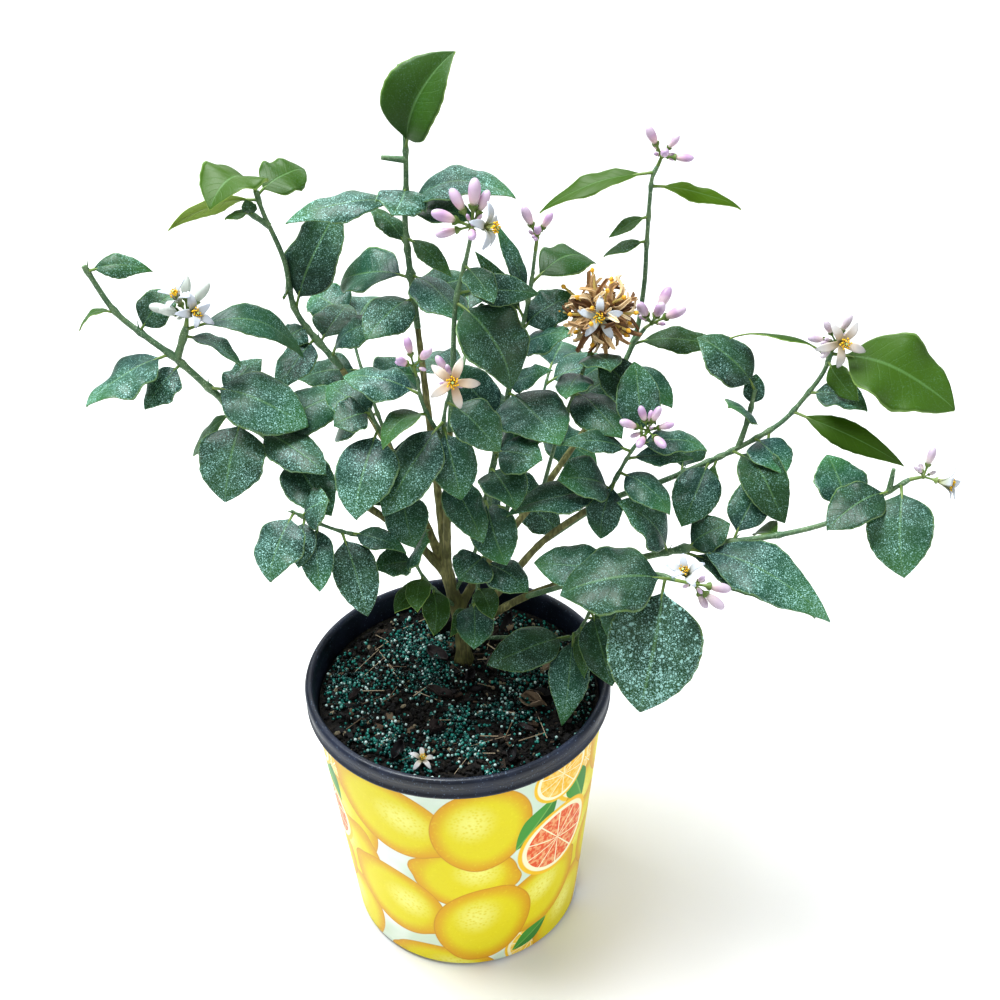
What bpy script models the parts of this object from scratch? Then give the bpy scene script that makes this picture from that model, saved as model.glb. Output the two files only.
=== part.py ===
"""A young lemon tree growing in a nursery pot with a printed sleeve.

Metres, +Z up. The origin is the centre of the pot's underside, and the pot stands on Z = 0.
The points of stems, leaf tips and blossoms are hand-set, in millimetres, for a 200 mm pot.
"""
import math

import bmesh
import bpy
from mathutils import Matrix, Vector
from mathutils.bvhtree import BVHTree

MM = 0.001

# Pot
POT_HEIGHT = 0.200
RIM_RADIUS = 0.100
BASE_RADIUS = 0.078
POT_WALL = 0.0016
POT_FLOOR = 0.0024
RIM_BAND_HEIGHT = 0.015
RIM_STEP = 0.0040
RIM_WEB = 0.0040
RIM_CORNER = 0.0010
RIM_CORNER_DROP = 0.0015
INNER_CORNER = 0.0006
BAND_DRAFT = 0.0004
WALL_FLARE = 0.0012
FLOOR_CORNER = 0.0012
FOOT_CHAMFER = 0.0020
DRAIN_HOLE_RADIUS = 0.006
DRAIN_HOLE_COUNT = 8
DRAIN_RING_RADIUS = 0.056
POT_SEGMENTS = 40

# Printed sleeve round the pot wall
SLEEVE_THICKNESS = 0.0006
SLEEVE_FOOT = 0.003

# Potting mix
MIX_DROP = 0.017
MIX_CROWN = 0.004
MIX_EDGE_DIP = 0.001

# Plant
TRUNK_RADIUS = 0.0055
TRUNK_TOP_RADIUS = 0.0044
TRUNK_DEPTH = 0.045
LIMB_RADIUS = 0.0030
LIMB_TIP_RADIUS = 0.0019
TWIG_RADIUS = 0.0014
TWIG_TIP_RADIUS = 0.0008
LIMB_STEP = 0.022
TWIG_STEP = 0.026
LEAF_THICKNESS = 0.0006
LEAF_SIZE = 1.0
STALK_RADIUS = 0.0007
KNOT_RADIUS = 0.0015
PEDICEL_LENGTH = 0.007
BUD_LENGTH = 0.0115
BUD_RADIUS = 0.0029
PETAL_LENGTH = 0.0145
PETAL_WIDTH = 0.0054
PETAL_THICKNESS = 0.0018
PETAL_COUNT = 5
PETAL_CUP = 0.35
SPENT_HEAD_RADIUS = 0.014
SPENT_STALK_COUNT = 14
SPENT_STALK_REACH = 0.0203
SPENT_STALK_RADIUS = 0.0016
SPENT_STALK_TIP_RADIUS = 0.0006

# Clearance between pieces that touch in the real plant, and between a leaf and its neighbours
GAP = 0.0003
LEAF_CLEARANCE = 0.0006

# The hand-set points stand on a 200 mm pot; they rise and sink with the pot's height
SET_POT_HEIGHT = 0.200
PLANT_RISE = POT_HEIGHT - SET_POT_HEIGHT

# Trunk and woody limbs: each runs from the crown outward, thick end first
TRUNK = ((4, 28, 0), (3, 27, 205), (0, 26, 232), (-5, 26, 262))
LIMBS = {
    "left": ((-4, 26, 258), (-26, 22, 292), (-52, 21, 318), (-89, 25, 346)),
    "back_left": ((-5, 27, 260), (-32, 45, 330), (-65, 70, 388)),
    "upright": ((-5, 27, 261), (-9, 36, 330), (-16, 60, 420)),
    "centre": ((-5, 26, 262), (-2, 20, 320), (2, 14, 375)),
    "right": ((2, 27, 216), (25, 22, 243), (57, 20, 288), (95, 10, 327)),
    "back_right": ((1, 26, 228), (20, 32, 262), (58, 52, 305), (98, 82, 350)),
    "low_right": ((3, 27, 208), (45, 12, 250), (110, -2, 288)),
}

# Shoots. A twig is a list of points, and its first point sits on a limb or on an earlier twig.
# A leaf is (twig, share of the twig's length, tip, width, roll in degrees, arch).
# A shoot's girth thickens its twigs.
SHOOTS = {
    "shoot_far_left": {
        "girth": 1.7,
        "twigs": (
            ((-89, 25, 346), (-115, 30, 371), (-138, 36, 393), (-158, 40, 414),
             (-175, 45, 427), (-192, 50, 442), (-205, 52, 470)),
            ((-158, 40, 414), (-153, 43, 426), (-150, 44, 434)),
        ),
        "leaves": (
            (0, 0.54, (-208, 10, 404), 34, 10, 0.04),
            (0, 0.36, (-82, 20, 378), 36, 0, 0.10),
            (0, 0.22, (-134, -2, 340), 38, 0, 0.08),
            (0, 0.98, (-167, 55, 465), 14, 20, 0.12),
            (0, 0.82, (-214, 46, 433), 10, 30, 0.16),
            (0, 0.70, (-156, 60, 449), 20, 25, 0.10),
            (0, 0.48, (-178, 22, 392), 22, 0, 0.05),
            (1, 0.85, (-84, 62, 402), 22, 0, 0.22),
            (1, 0.60, (-119, 32, 413), 18, -30, 0.10),
            (0, 0.30, (-112, 58, 404), 20, 0, 0.08),
            (0, 0.12, (-58, 42, 388), 28, 10, 0.08),
            (0, 0.05, (-70, -12, 336), 28, 0, 0.08),
            (0, 0.16, (-71, -7, 362), 24, 0, 0.06),
            (0, 0.25, (-160, 46, 342), 14, 0, 0.05),
        ),
    },
    "shoot_upper_left": {
        "girth": 1.45,
        "twigs": (
            ((-65, 70, 388), (-91, 85, 419), (-96, 92, 451), (-106, 97, 480), (-109, 98, 494)),
            ((-103, 96, 472), (-114, 96, 481)),
        ),
        "leaves": (
            (0, 0.99, (-130, 62, 500), 36, 0, 0.26),
            (0, 0.96, (-82, 122, 497), 26, 10, 0.14),
            (0, 0.92, (-163, 92, 474), 15, 70, 0.10),
            (0, 0.42, (-62, 98, 483), 34, 0, 0.05),
            (1, 0.98, (-129, 94, 479), 8, 0, 0.05),
            (1, 0.85, (-114, 90, 491), 8, 0, 0.05),
            (0, 0.30, (-98, 72, 408), 18, 0, 0.06),
            (0, 0.50, (-99, 88, 428), 14, 40, 0.04),
            (0, 0.08, (-22, 64, 420), 22, 0, 0.26),
            (0, 0.18, (-62, 112, 412), 24, 0, 0.08),
            (0, 0.22, (-102, 47, 387), 22, 0, 0.08),
        ),
    },
    "shoot_top": {
        "girth": 1.45,
        "twigs": (
            ((-16, 60, 420), (-20, 68, 478), (-18, 70, 510), (-17, 70, 539), (-18, 70, 575)),
            ((-17, 70, 521), (-31, 67, 524)),
        ),
        "leaves": (
            (0, 0.72, (12, 64, 583), 34, 30, 0.12),
            (0, 0.50, (43, 50, 508), 28, 0, 0.12),
            (0, 0.50, (-88, 60, 492), 22, 10, 0.10),
            (0, 0.56, (-24, 30, 506), 26, 0, 0.04),
            (0, 0.48, (20, 54, 492), 20, -10, 0.08),
            (0, 0.34, (-42, 82, 490), 14, 0, 0.06),
            (0, 0.38, (6, 45, 461), 12, 0, 0.06),
            (0, 0.22, (12, 28, 441), 30, -20, 0.06),
            (0, 0.20, (-64, 95, 436), 30, 0, 0.08),
            (0, 0.12, (-44, 26, 432), 26, 0, 0.08),
            (0, 0.10, (20, 88, 438), 26, 0, 0.08),
        ),
    },
    "shoot_centre_flowers": {
        "girth": 1.3,
        "twigs": (
            ((2, 14, 375), (5, 22, 410), (8, 25, 451), (15, 28, 478), (18, 28, 491)),
        ),
        "leaves": (
            (0, 0.62, (40, -5, 415), 42, -10, 0.14),
            (0, 0.66, (56, 28, 457), 18, 20, 0.10),
            (0, 0.78, (30, 3, 464), 16, 0, 0.06),
        ),
    },
    "shoot_centre_back": {
        "girth": 1.3,
        "twigs": (
            ((20, 32, 262), (27, 42, 330), (42, 52, 400), (51, 58, 440), (55, 60, 468)),
        ),
        "leaves": (
            (0, 0.92, (92, 84, 450), 26, 0, 0.22),
            (0, 0.86, (32, 80, 478), 12, 10, 0.06),
            (0, 0.80, (20, 70, 464), 12, 0, 0.06),
            (0, 0.76, (78, 62, 438), 24, 0, 0.10),
            (0, 0.70, (74, 34, 428), 22, 0, 0.08),
            (0, 0.56, (66, -6, 377), 38, 0, 0.08),
            (0, 0.58, (61, 20, 412), 16, 30, 0.06),
            (0, 0.46, (-2, 72, 388), 28, 0, 0.08),
            (0, 0.36, (58, 30, 362), 28, 0, 0.08),
        ),
    },
    "shoot_spent_head": {
        "twigs": (
            ((58, 52, 305), (68, 48, 350), (82, 48, 392), (89, 49, 412)),
        ),
        "leaves": (
            (0, 0.94, (123, 8, 380), 24, 0, 0.10),
            (0, 0.90, (96, 13, 414), 22, 0, 0.10),
            (0, 0.66, (102, 2, 376), 26, -10, 0.10),
            (0, 0.80, (70, 14, 398), 20, 0, 0.06),
            (0, 0.52, (112, 66, 384), 26, 0, 0.08),
            (0, 0.46, (41, 9, 368), 26, 0, 0.08),
        ),
    },
    "shoot_right_upright": {
        "girth": 1.3,
        "twigs": (
            ((98, 82, 350), (118, 98, 385), (124, 103, 420), (125, 105, 450),
             (126, 107, 478), (127, 107, 492), (130, 107, 499)),
            ((118, 98, 385), (124, 86, 402)),
        ),
        "leaves": (
            (0, 0.92, (58, 110, 474), 16, 0, 0.03),
            (0, 0.80, (182, 105, 472), 14, 0, 0.05),
            (0, 0.66, (101, 100, 457), 8, 0, 0.06),
            (0, 0.58, (98, 100, 445), 9, 0, 0.06),
            (0, 0.28, (176, 84, 388), 18, 0, 0.14),
            (0, 0.16, (140, 60, 362), 24, 0, 0.08),
        ),
    },
    "shoot_mid_right": {
        "twigs": (
            ((95, 10, 327), (103, 6, 350), (110, 2, 368), (115, 0, 376)),
        ),
        "leaves": (
            (0, 0.50, (145, 0, 360), 14, 0, 0.06),
            (0, 0.72, (152, -4, 370), 18, 0, 0.10),
            (0, 0.60, (66, -4, 376), 16, 0, 0.10),
            (0, 0.94, (112, 26, 412), 24, 0, 0.06),
            (0, 0.10, (66, -6, 353), 30, 0, 0.06),
            (0, 0.06, (34, -16, 334), 26, 0, 0.10),
            (0, 0.20, (90, -8, 309), 20, 0, 0.08),
            (0, 0.30, (130, -22, 338), 20, 0, 0.08),
        ),
    },
    "shoot_far_right": {
        "girth": 1.4,
        "twigs": (
            ((57, 20, 288), (95, 26, 312), (130, 28, 325), (152, 30, 334), (178, 35, 344),
             (203, 38, 359), (217, 40, 376), (227, 42, 392), (230, 42, 406)),
            ((178, 35, 344), (184, 42, 360), (188, 48, 378)),
        ),
        "leaves": (
            (0, 0.99, (297, 6, 385), 50, 0, 0.10),
            (0, 0.80, (250, 20, 380), 22, 0, 0.06),
            (0, 0.72, (274, 8, 346), 16, 30, 0.04),
            (1, 0.98, (154, 62, 408), 30, 0, 0.14),
            (1, 0.70, (190, 56, 384), 12, 0, 0.04),
            (0, 0.97, (172, 58, 409), 14, 40, 0.10),
            (0, 0.60, (202, 8, 342), 26, 0, 0.12),
            (0, 0.95, (242, 18, 386), 14, 60, 0.04),
            (0, 0.48, (140, -4, 314), 26, 0, 0.08),
            (0, 0.50, (155, 8, 310), 12, 40, 0.04),
            (0, 0.54, (202, -6, 316), 26, 0, 0.24),
            (0, 0.64, (190, 20, 313), 16, 0, 0.04),
            (1, 0.50, (168, 22, 382), 22, 0, 0.10),
            (0, 0.40, (150, 64, 340), 24, 0, 0.08),
        ),
    },
    "shoot_low_right": {
        "girth": 1.4,
        "twigs": (
            ((110, -2, 288), (150, -10, 303), (200, -15, 314), (234, -15, 325),
             (259, -15, 343), (270, -15, 351)),
            ((259, -15, 343), (260, -14, 358)),
        ),
        "leaves": (
            (0, 0.24, (222, -60, 286), 34, 0, 0.10),
            (0, 0.20, (222, -34, 268), 24, 0, 0.04),
            (0, 0.86, (219, -37, 333), 26, 0, 0.10),
            (0, 0.94, (262, -55, 310), 34, 10, 0.14),
            (0, 0.74, (229, 14, 352), 30, 0, 0.02),
            (0, 0.16, (101, -9, 337), 28, 0, 0.10),
            (0, 0.24, (168, -8, 318), 22, 0, 0.06),
            (0, 0.56, (186, 4, 302), 14, 0, 0.04),
            (0, 0.40, (193, 23, 332), 22, 0, 0.08),
        ),
    },
    "shoot_front_right": {
        "girth": 1.3,
        "twigs": (
            ((45, 12, 250), (68, -6, 272), (90, -20, 290), (118, -34, 302), (132, -44, 304)),
        ),
        "leaves": (
            (0, 0.90, (108, -90, 243), 50, 0, 0.06),
            (0, 0.96, (64, -46, 298), 44, 0, 0.08),
            (0, 0.62, (50, -22, 304), 28, 0, 0.08),
            (0, 0.50, (99, -9, 251), 26, 0, 0.06),
            (0, 0.68, (96, -52, 262), 26, 0, 0.06),
        ),
    },
    "shoot_low_front": {
        "twigs": (
            ((3, 27, 203), (40, 15, 214), (70, 4, 220), (80, 5, 228), (88, 8, 244)),
        ),
        "leaves": (
            (0, 0.66, (20, -22, 224), 26, 0, 0.08),
            (0, 0.72, (66, -46, 192), 24, 0, 0.08),
            (0, 0.82, (80, -28, 216), 12, 0, 0.04),
            (0, 0.97, (98, -34, 214), 24, 0, 0.06),
            (0, 0.90, (110, 10, 222), 14, 0, 0.06),
        ),
    },
    "shoot_front_blossom": {
        "twigs": (
            ((-2, 20, 320), (-3, 10, 352), (-1, 6, 388), (4, 0, 412)),
            ((-2, 8, 372), (-12, 4, 398), (-15, 2, 420)),
        ),
        "leaves": (
            (0, 0.86, (31, -20, 382), 26, 0, 0.10),
            (0, 0.62, (8, -20, 349), 26, 0, 0.06),
            (0, 0.66, (-38, -32, 349), 28, 0, 0.08),
            (1, 0.40, (-36, -18, 386), 18, 20, 0.16),
            (1, 0.70, (-58, 15, 414), 24, 0, 0.10),
            (0, 0.30, (20, -20, 318), 22, 0, 0.06),
        ),
    },
    "shoot_left_of_centre": {
        "twigs": (
            ((-26, 22, 292), (-30, 12, 335), (-36, 6, 372), (-44, 8, 396)),
        ),
        "leaves": (
            (0, 0.86, (-54, -38, 352), 34, 0, 0.08),
            (0, 0.97, (-64, -2, 392), 24, 0, 0.08),
            (0, 0.50, (-22, -22, 318), 24, 0, 0.08),
            (0, 0.90, (-70, 32, 398), 22, 0, 0.10),
            (0, 0.60, (-68, 8, 352), 26, 0, 0.06),
            (0, 0.72, (-6, -10, 367), 22, 0, 0.06),
            (0, 0.35, (-56, 34, 328), 26, 0, 0.08),
        ),
    },
    "shoot_right_of_centre": {
        "twigs": (
            ((-2, 26, 242), (13, 18, 280), (20, 10, 322), (28, 3, 368)),
        ),
        "leaves": (
            (0, 0.99, (55, -10, 370), 26, 0, 0.08),
            (0, 0.90, (40, -27, 348), 26, 0, 0.06),
            (0, 0.72, (33, -22, 302), 26, 0, 0.08),
            (0, 0.80, (60, 4, 330), 24, 0, 0.08),
        ),
    },
    "shoot_lower_left": {
        "twigs": (
            ((-26, 22, 292), (-48, 2, 308), (-65, -8, 320), (-80, -15, 333), (-92, -18, 343)),
        ),
        "leaves": (
            (0, 0.97, (-104, -50, 316), 28, 0, 0.10),
            (0, 0.85, (-88, -40, 318), 14, 0, 0.04),
            (0, 0.72, (-76, -47, 306), 18, 0, 0.06),
            (0, 0.50, (-50, -44, 284), 24, 0, 0.06),
            (0, 0.42, (-26, -24, 316), 16, 0, 0.08),
            (0, 0.88, (-70, -20, 352), 26, 0, 0.06),
        ),
    },
    "shoot_under_left": {
        "twigs": (
            ((0, 26, 232), (-10, 8, 258), (-18, -4, 280), (-24, -8, 300)),
        ),
        "leaves": (
            (0, 0.62, (-36, -24, 270), 14, 0, 0.06),
            (0, 0.70, (-22, -30, 276), 14, 0, 0.06),
            (0, 0.45, (-12, -26, 253), 16, 0, 0.06),
            (0, 0.97, (-14, -22, 322), 26, 0, 0.08),
            (0, 0.90, (-46, -18, 300), 20, 0, 0.06),
        ),
    },
    "shoot_under_centre": {
        "twigs": (
            ((2, 27, 212), (12, 8, 250), (18, -4, 286), (25, -8, 313)),
        ),
        "leaves": (
            (0, 0.50, (12, -26, 242), 22, 0, 0.06),
            (0, 0.86, (4, -22, 292), 26, 0, 0.08),
            (0, 0.62, (24, -22, 262), 14, 0, 0.06),
            (0, 0.80, (46, -26, 286), 22, 0, 0.08),
            (0, 0.40, (-2, -17, 245), 12, 0, 0.04),
        ),
    },
    "shoot_rear_left": {
        "twigs": (
            ((-32, 45, 330), (-46, 78, 350), (-58, 108, 372), (-64, 128, 392)),
        ),
        "leaves": (
            (0, 0.99, (-90, 150, 400), 28, 0, 0.12),
            (0, 0.95, (-42, 168, 388), 30, 0, 0.12),
            (0, 0.72, (-98, 104, 362), 28, 0, 0.10),
            (0, 0.62, (-20, 122, 352), 30, 0, 0.10),
            (0, 0.40, (-78, 96, 322), 26, 0, 0.08),
        ),
    },
    "shoot_rear_centre": {
        "twigs": (
            ((-9, 36, 330), (2, 70, 352), (10, 104, 372), (14, 128, 392)),
        ),
        "leaves": (
            (0, 0.99, (10, 172, 398), 30, 0, 0.12),
            (0, 0.90, (48, 142, 380), 28, 0, 0.10),
            (0, 0.66, (-21, 142, 354), 28, 0, 0.10),
            (0, 0.50, (46, 96, 340), 30, 0, 0.10),
            (0, 0.30, (-16, 92, 318), 26, 0, 0.08),
        ),
    },
    "shoot_rear_right": {
        "twigs": (
            ((20, 32, 262), (38, 66, 290), (54, 100, 322), (66, 124, 352)),
        ),
        "leaves": (
            (0, 0.99, (78, 168, 352), 30, 0, 0.12),
            (0, 0.92, (109, 126, 355), 28, 0, 0.10),
            (0, 0.66, (96, 88, 300), 30, 0, 0.10),
            (0, 0.60, (28, 140, 300), 30, 0, 0.10),
            (0, 0.34, (70, 58, 268), 26, 0, 0.08),
            (0, 0.28, (8, 92, 262), 26, 0, 0.08),
        ),
    },
}

# Blossom clusters: the shoot and twig they end, their centre, and their buds and open flowers.
# A bud or a flower is the direction that it points in.
BLOSSOMS = {
    "blossom_far_left": {
        "stem": ("shoot_far_left", 1), "centre": (-148, 42, 442),
        "buds": ((-1, 0, 0.3), (-0.5, -0.8, 0.6), (0.7, 0.2, 0.9), (0, 0.5, 1)),
        "flowers": ((0.5, -0.7, 0.4), (-0.3, -0.2, 1)),
    },
    "blossom_centre_top": {
        "stem": ("shoot_centre_flowers", 0), "centre": (19, 26, 499),
        "buds": ((-1, -0.2, 0.5), (-0.9, 0, -0.2), (-0.5, 0.3, 0.9), (0.1, 0.2, 1), (0.5, 0.4, 0.9),
                 (0, -1, 0.1)),
        "flowers": ((0.8, -0.6, 0.2),),
    },
    "blossom_centre_back": {
        "stem": ("shoot_centre_back", 0), "centre": (56, 60, 476),
        "buds": ((-0.4, 0, 1), (0.5, 0, 0.9), (0, -0.7, 0.7)),
        "flowers": (),
    },
    "blossom_right_top": {
        "stem": ("shoot_right_upright", 0), "centre": (132, 106, 505),
        "buds": ((-0.5, 0, 1), (0.6, 0, 0.8), (0.9, -0.2, 0), (0, -0.7, 0.4)),
        "flowers": (),
    },
    "blossom_right_inner": {
        "stem": ("shoot_right_upright", 1), "centre": (127, 80, 408),
        "buds": ((0.8, -0.2, 0.5), (0.2, -0.6, 0.9), (-0.4, -0.4, 0.8), (0.5, 0.5, 0.8)),
        "flowers": (),
    },
    "blossom_mid_right": {
        "stem": ("shoot_mid_right", 0), "centre": (117, -3, 382),
        "buds": ((-0.9, -0.2, 0.5), (-0.3, 0, 1), (0.4, 0, 1), (0.9, -0.2, 0.4), (0.4, -0.9, 0),
                 (-0.4, -0.9, 0)),
        "flowers": (),
    },
    "blossom_far_right": {
        "stem": ("shoot_far_right", 0), "centre": (231, 39, 414),
        "buds": ((-1, 0, 0.2), (-0.5, 0, 0.9), (0.4, 0, 1), (-0.6, -0.7, -0.2)),
        "flowers": ((0.1, -0.9, 0.4),),
    },
    "blossom_low_right": {
        "stem": ("shoot_low_right", 0), "centre": (277, -17, 354),
        "buds": ((0.3, 0.3, 1),),
        "flowers": ((0.9, -0.4, -0.1),),
    },
    "blossom_front_right": {
        "stem": ("shoot_front_right", 0), "centre": (141, -53, 308),
        "buds": ((0.9, 0, -0.2), (0.5, -0.3, -0.9), (0.9, -0.5, -0.6)),
        "flowers": ((-0.5, -0.35, 1),),
    },
    "blossom_front": {
        "stem": ("shoot_front_blossom", 0), "centre": (6, -5, 419),
        "buds": ((-0.6, 0.4, 0.9),),
        "flowers": ((0, -0.9, 0.5),),
    },
    "blossom_front_buds": {
        "stem": ("shoot_front_blossom", 1), "centre": (-16, 0, 427),
        "buds": ((-0.2, 0.2, 1), (-0.5, -0.5, 0.6), (0.5, -0.3, 0.7)),
        "flowers": (),
    },
}
SPENT_HEAD = {"stem": ("shoot_spent_head", 0), "centre": (93, 49, 431)}

# A leaf's outline: share of its length, share of its half width
LEAF_OUTLINE = ((0.0, 0.06), (0.13, 0.06), (0.38, 1.0), (0.74, 0.88), (1.0, 0.06))
LEAF_FOLD = 0.16

# Leaves face up and a little to the front, where the light came from
LEAF_FACING = (0.0, -0.35, 0.94)
STEEP_LEAF_FACING = (0.0, -1.0, 0.2)

# A leaf that would touch a neighbour turns round its stem, lifts or shortens until it is clear
LEAF_TURNS = sorted(
    ((turn, lift, size)
     for turn in (0, 9, -9, 18, -18, 30, -30, 45, -45, 62, -62, 85, -85)
     for lift in (0, 9, -9, 18, -18, 30, -30, 45, -45)
     for size in (1.0, 0.85, 0.7, 0.55)),
    key=lambda t: abs(t[0]) + abs(t[1]) + 220 * (1 - t[2]),
)

POT_GREY = (0.016, 0.019, 0.027)
SLEEVE_YELLOW = (0.80, 0.62, 0.03)
MIX_BROWN = (0.020, 0.014, 0.010)
BARK = (0.17, 0.16, 0.08)
LEAF_GREEN = (0.035, 0.10, 0.045)
PETAL_WHITE = (0.80, 0.74, 0.74)
SPENT_TAN = (0.36, 0.22, 0.08)


def clear_scene():
    for old in list(bpy.data.objects):
        bpy.data.objects.remove(old, do_unlink=True)


def new_collection(name):
    group = bpy.data.collections.new(name)
    bpy.context.scene.collection.children.link(group)
    return group


def material(name, colour, roughness):
    paint = bpy.data.materials.new(name)
    paint.use_nodes = True
    shader = paint.node_tree.nodes["Principled BSDF"]
    shader.inputs["Base Color"].default_value = (*colour, 1.0)
    shader.inputs["Roughness"].default_value = roughness
    shader.inputs["Metallic"].default_value = 0.0
    return paint


def add_object(name, mesh, group, paint=None):
    piece = bpy.data.objects.new(name, mesh)
    group.objects.link(piece)
    if paint:
        mesh.materials.clear()
        mesh.materials.append(paint)
    return piece


def add_cutter(name, mesh):
    piece = add_object(name, mesh, CUTTERS)
    piece.hide_render = True
    piece.display_type = "WIRE"
    return piece


def placed(point):
    """A hand-set point, in millimetres, as a place on the pot in metres."""
    return Vector((point[0] * MM, point[1] * MM, point[2] * MM + PLANT_RISE))


def turned(name, profile, paint):
    """A body turned round Z from a closed outline of (radius, height) points."""
    mesh = bpy.data.meshes.new(name)
    points = [(radius, 0.0, height) for radius, height in profile]
    edges = [
        (i, (i + 1) % len(points)) for i in range(len(points))
        if profile[i][0] > 0 or profile[(i + 1) % len(points)][0] > 0
    ]
    mesh.from_pydata(points, edges, [])
    piece = add_object(name, mesh, PARTS, paint)
    screw = piece.modifiers.new("turn", "SCREW")
    screw.steps = POT_SEGMENTS
    screw.render_steps = POT_SEGMENTS
    screw.use_merge_vertices = True
    screw.merge_threshold = 0.00001
    screw.use_smooth_shade = True
    return piece


def boolean(piece, tool, operation, solver="EXACT"):
    cut = piece.modifiers.new(operation.lower(), "BOOLEAN")
    cut.operation = operation
    cut.solver = solver
    cut.object = tool
    return cut


def evaluated_mesh(piece):
    view = bpy.context.evaluated_depsgraph_get()
    view.update()
    mesh = bpy.data.meshes.new_from_object(piece.evaluated_get(view))
    mesh.transform(piece.matrix_world)
    return mesh


def smooth_route(points, step):
    """Points about one step apart on a smooth curve through the given ones."""
    ends = [points[0] * 2 - points[1], *points, points[-1] * 2 - points[-2]]
    route = []
    for before, start, end, after in zip(ends, ends[1:], ends[2:], ends[3:]):
        count = max(1, round((end - start).length / step))
        for i in range(count):
            t = i / count
            route.append(0.5 * (
                start * 2
                + (end - before) * t
                + (before * 2 - start * 5 + end * 4 - after) * t ** 2
                + (start * 3 - before - end * 3 + after) * t ** 3
            ))
    route.append(points[-1])
    return route


def tube_mesh(name, route, thick, thin, resolution, spare=0.0):
    """A tapered round stem along a route, as a closed mesh. Spare swells and lengthens it."""
    curve = bpy.data.curves.new(name, "CURVE")
    curve.dimensions = "3D"
    curve.bevel_depth = 1.0
    curve.bevel_resolution = resolution
    curve.use_fill_caps = True
    spline = curve.splines.new("POLY")
    spline.points.add(len(route) - 1)
    last = len(route) - 1
    for i, point in enumerate(route):
        place = point
        if i == 0:
            place = point + (point - route[1]).normalized() * spare
        elif i == last:
            place = point + (point - route[-2]).normalized() * spare
        spline.points[i].co = (*place, 1.0)
        spline.points[i].radius = thick + (thin - thick) * i / last + spare
    stem = bpy.data.objects.new(name, curve)
    CUTTERS.objects.link(stem)
    mesh = evaluated_mesh(stem)
    bpy.data.objects.remove(stem, do_unlink=True)
    shell = bmesh.new()
    shell.from_mesh(mesh)
    bmesh.ops.remove_doubles(shell, verts=shell.verts, dist=0.00001)
    bmesh.ops.recalc_face_normals(shell, faces=shell.faces)
    shell.to_mesh(mesh)
    shell.free()
    return mesh


def joined(name, meshes, solver="EXACT"):
    """Closed meshes that overlap, united into one closed mesh."""
    base = add_cutter(name + "_base", meshes[0])
    tools = [base]
    for i, mesh in enumerate(meshes[1:]):
        tool = add_cutter(f"{name}_tool_{i}", mesh)
        boolean(base, tool, "UNION", solver)
        tools.append(tool)
    result = evaluated_mesh(base)
    for tool in tools:
        bpy.data.objects.remove(tool, do_unlink=True)
    return result


def tree_of(mesh):
    return BVHTree.FromPolygons(
        [tuple(v.co) for v in mesh.vertices], [tuple(p.vertices) for p in mesh.polygons]
    )


def leaf_mesh(name, base, tip, width, roll, arch, thickness, first_row=0):
    """A leaf from its foot to its tip, folded a little along its midrib and arched."""
    along = tip - base
    length = along.length
    along.normalize()
    up = Vector(LEAF_FACING)
    normal = up - along * up.dot(along)
    if normal.length < 0.2:
        up = Vector(STEEP_LEAF_FACING)
        normal = up - along * up.dot(along)
    normal.normalize()
    normal.rotate(Matrix.Rotation(math.radians(roll), 3, along))
    side = along.cross(normal)
    rows = LEAF_OUTLINE[first_row:]
    blade = bmesh.new()
    bmesh.ops.create_grid(blade, x_segments=2, y_segments=len(rows) - 1, size=1.0)
    for vert in blade.verts:
        row = round((vert.co.y + 1) / 2 * (len(rows) - 1))
        share, half = rows[row]
        out = vert.co.x * half * width / 2
        lift = arch * length * 4 * share * (1 - share) + LEAF_FOLD * abs(out)
        vert.co = base + along * (share * length) + side * out + normal * lift
    bmesh.ops.recalc_face_normals(blade, faces=blade.faces)
    bmesh.ops.solidify(blade, geom=blade.faces, thickness=thickness)
    bmesh.ops.recalc_face_normals(blade, faces=blade.faces)
    mesh = bpy.data.meshes.new(name)
    blade.to_mesh(mesh)
    blade.free()
    return mesh


def settled_leaf(name, route, leaf, obstacles):
    """The leaf in the first of its possible turns that keeps clear of everything in its way."""
    _, share, tip, width, roll, arch = leaf
    place = share * (len(route) - 1)
    start = min(int(place), len(route) - 2)
    base = route[start].lerp(route[start + 1], place - start)
    reach = placed(tip) - base
    level = Vector((reach.y, -reach.x, 0.0)).normalized()
    for turn, lift, size in LEAF_TURNS:
        way = reach * size * LEAF_SIZE
        way.rotate(Matrix.Rotation(math.radians(lift), 3, level))
        way.rotate(Matrix.Rotation(math.radians(turn), 3, "Z"))
        end = base + way
        wide = width * MM * (0.4 + 0.6 * size) * LEAF_SIZE
        fat = leaf_mesh(name, base, end, wide + 2 * LEAF_CLEARANCE, roll, arch,
                        LEAF_THICKNESS + 2 * LEAF_CLEARANCE, first_row=1)
        tree = tree_of(fat)
        bpy.data.meshes.remove(fat)
        if not any(tree.overlap(other) for other in obstacles):
            break
    return leaf_mesh(name, base, end, wide, roll, arch, LEAF_THICKNESS)


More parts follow.
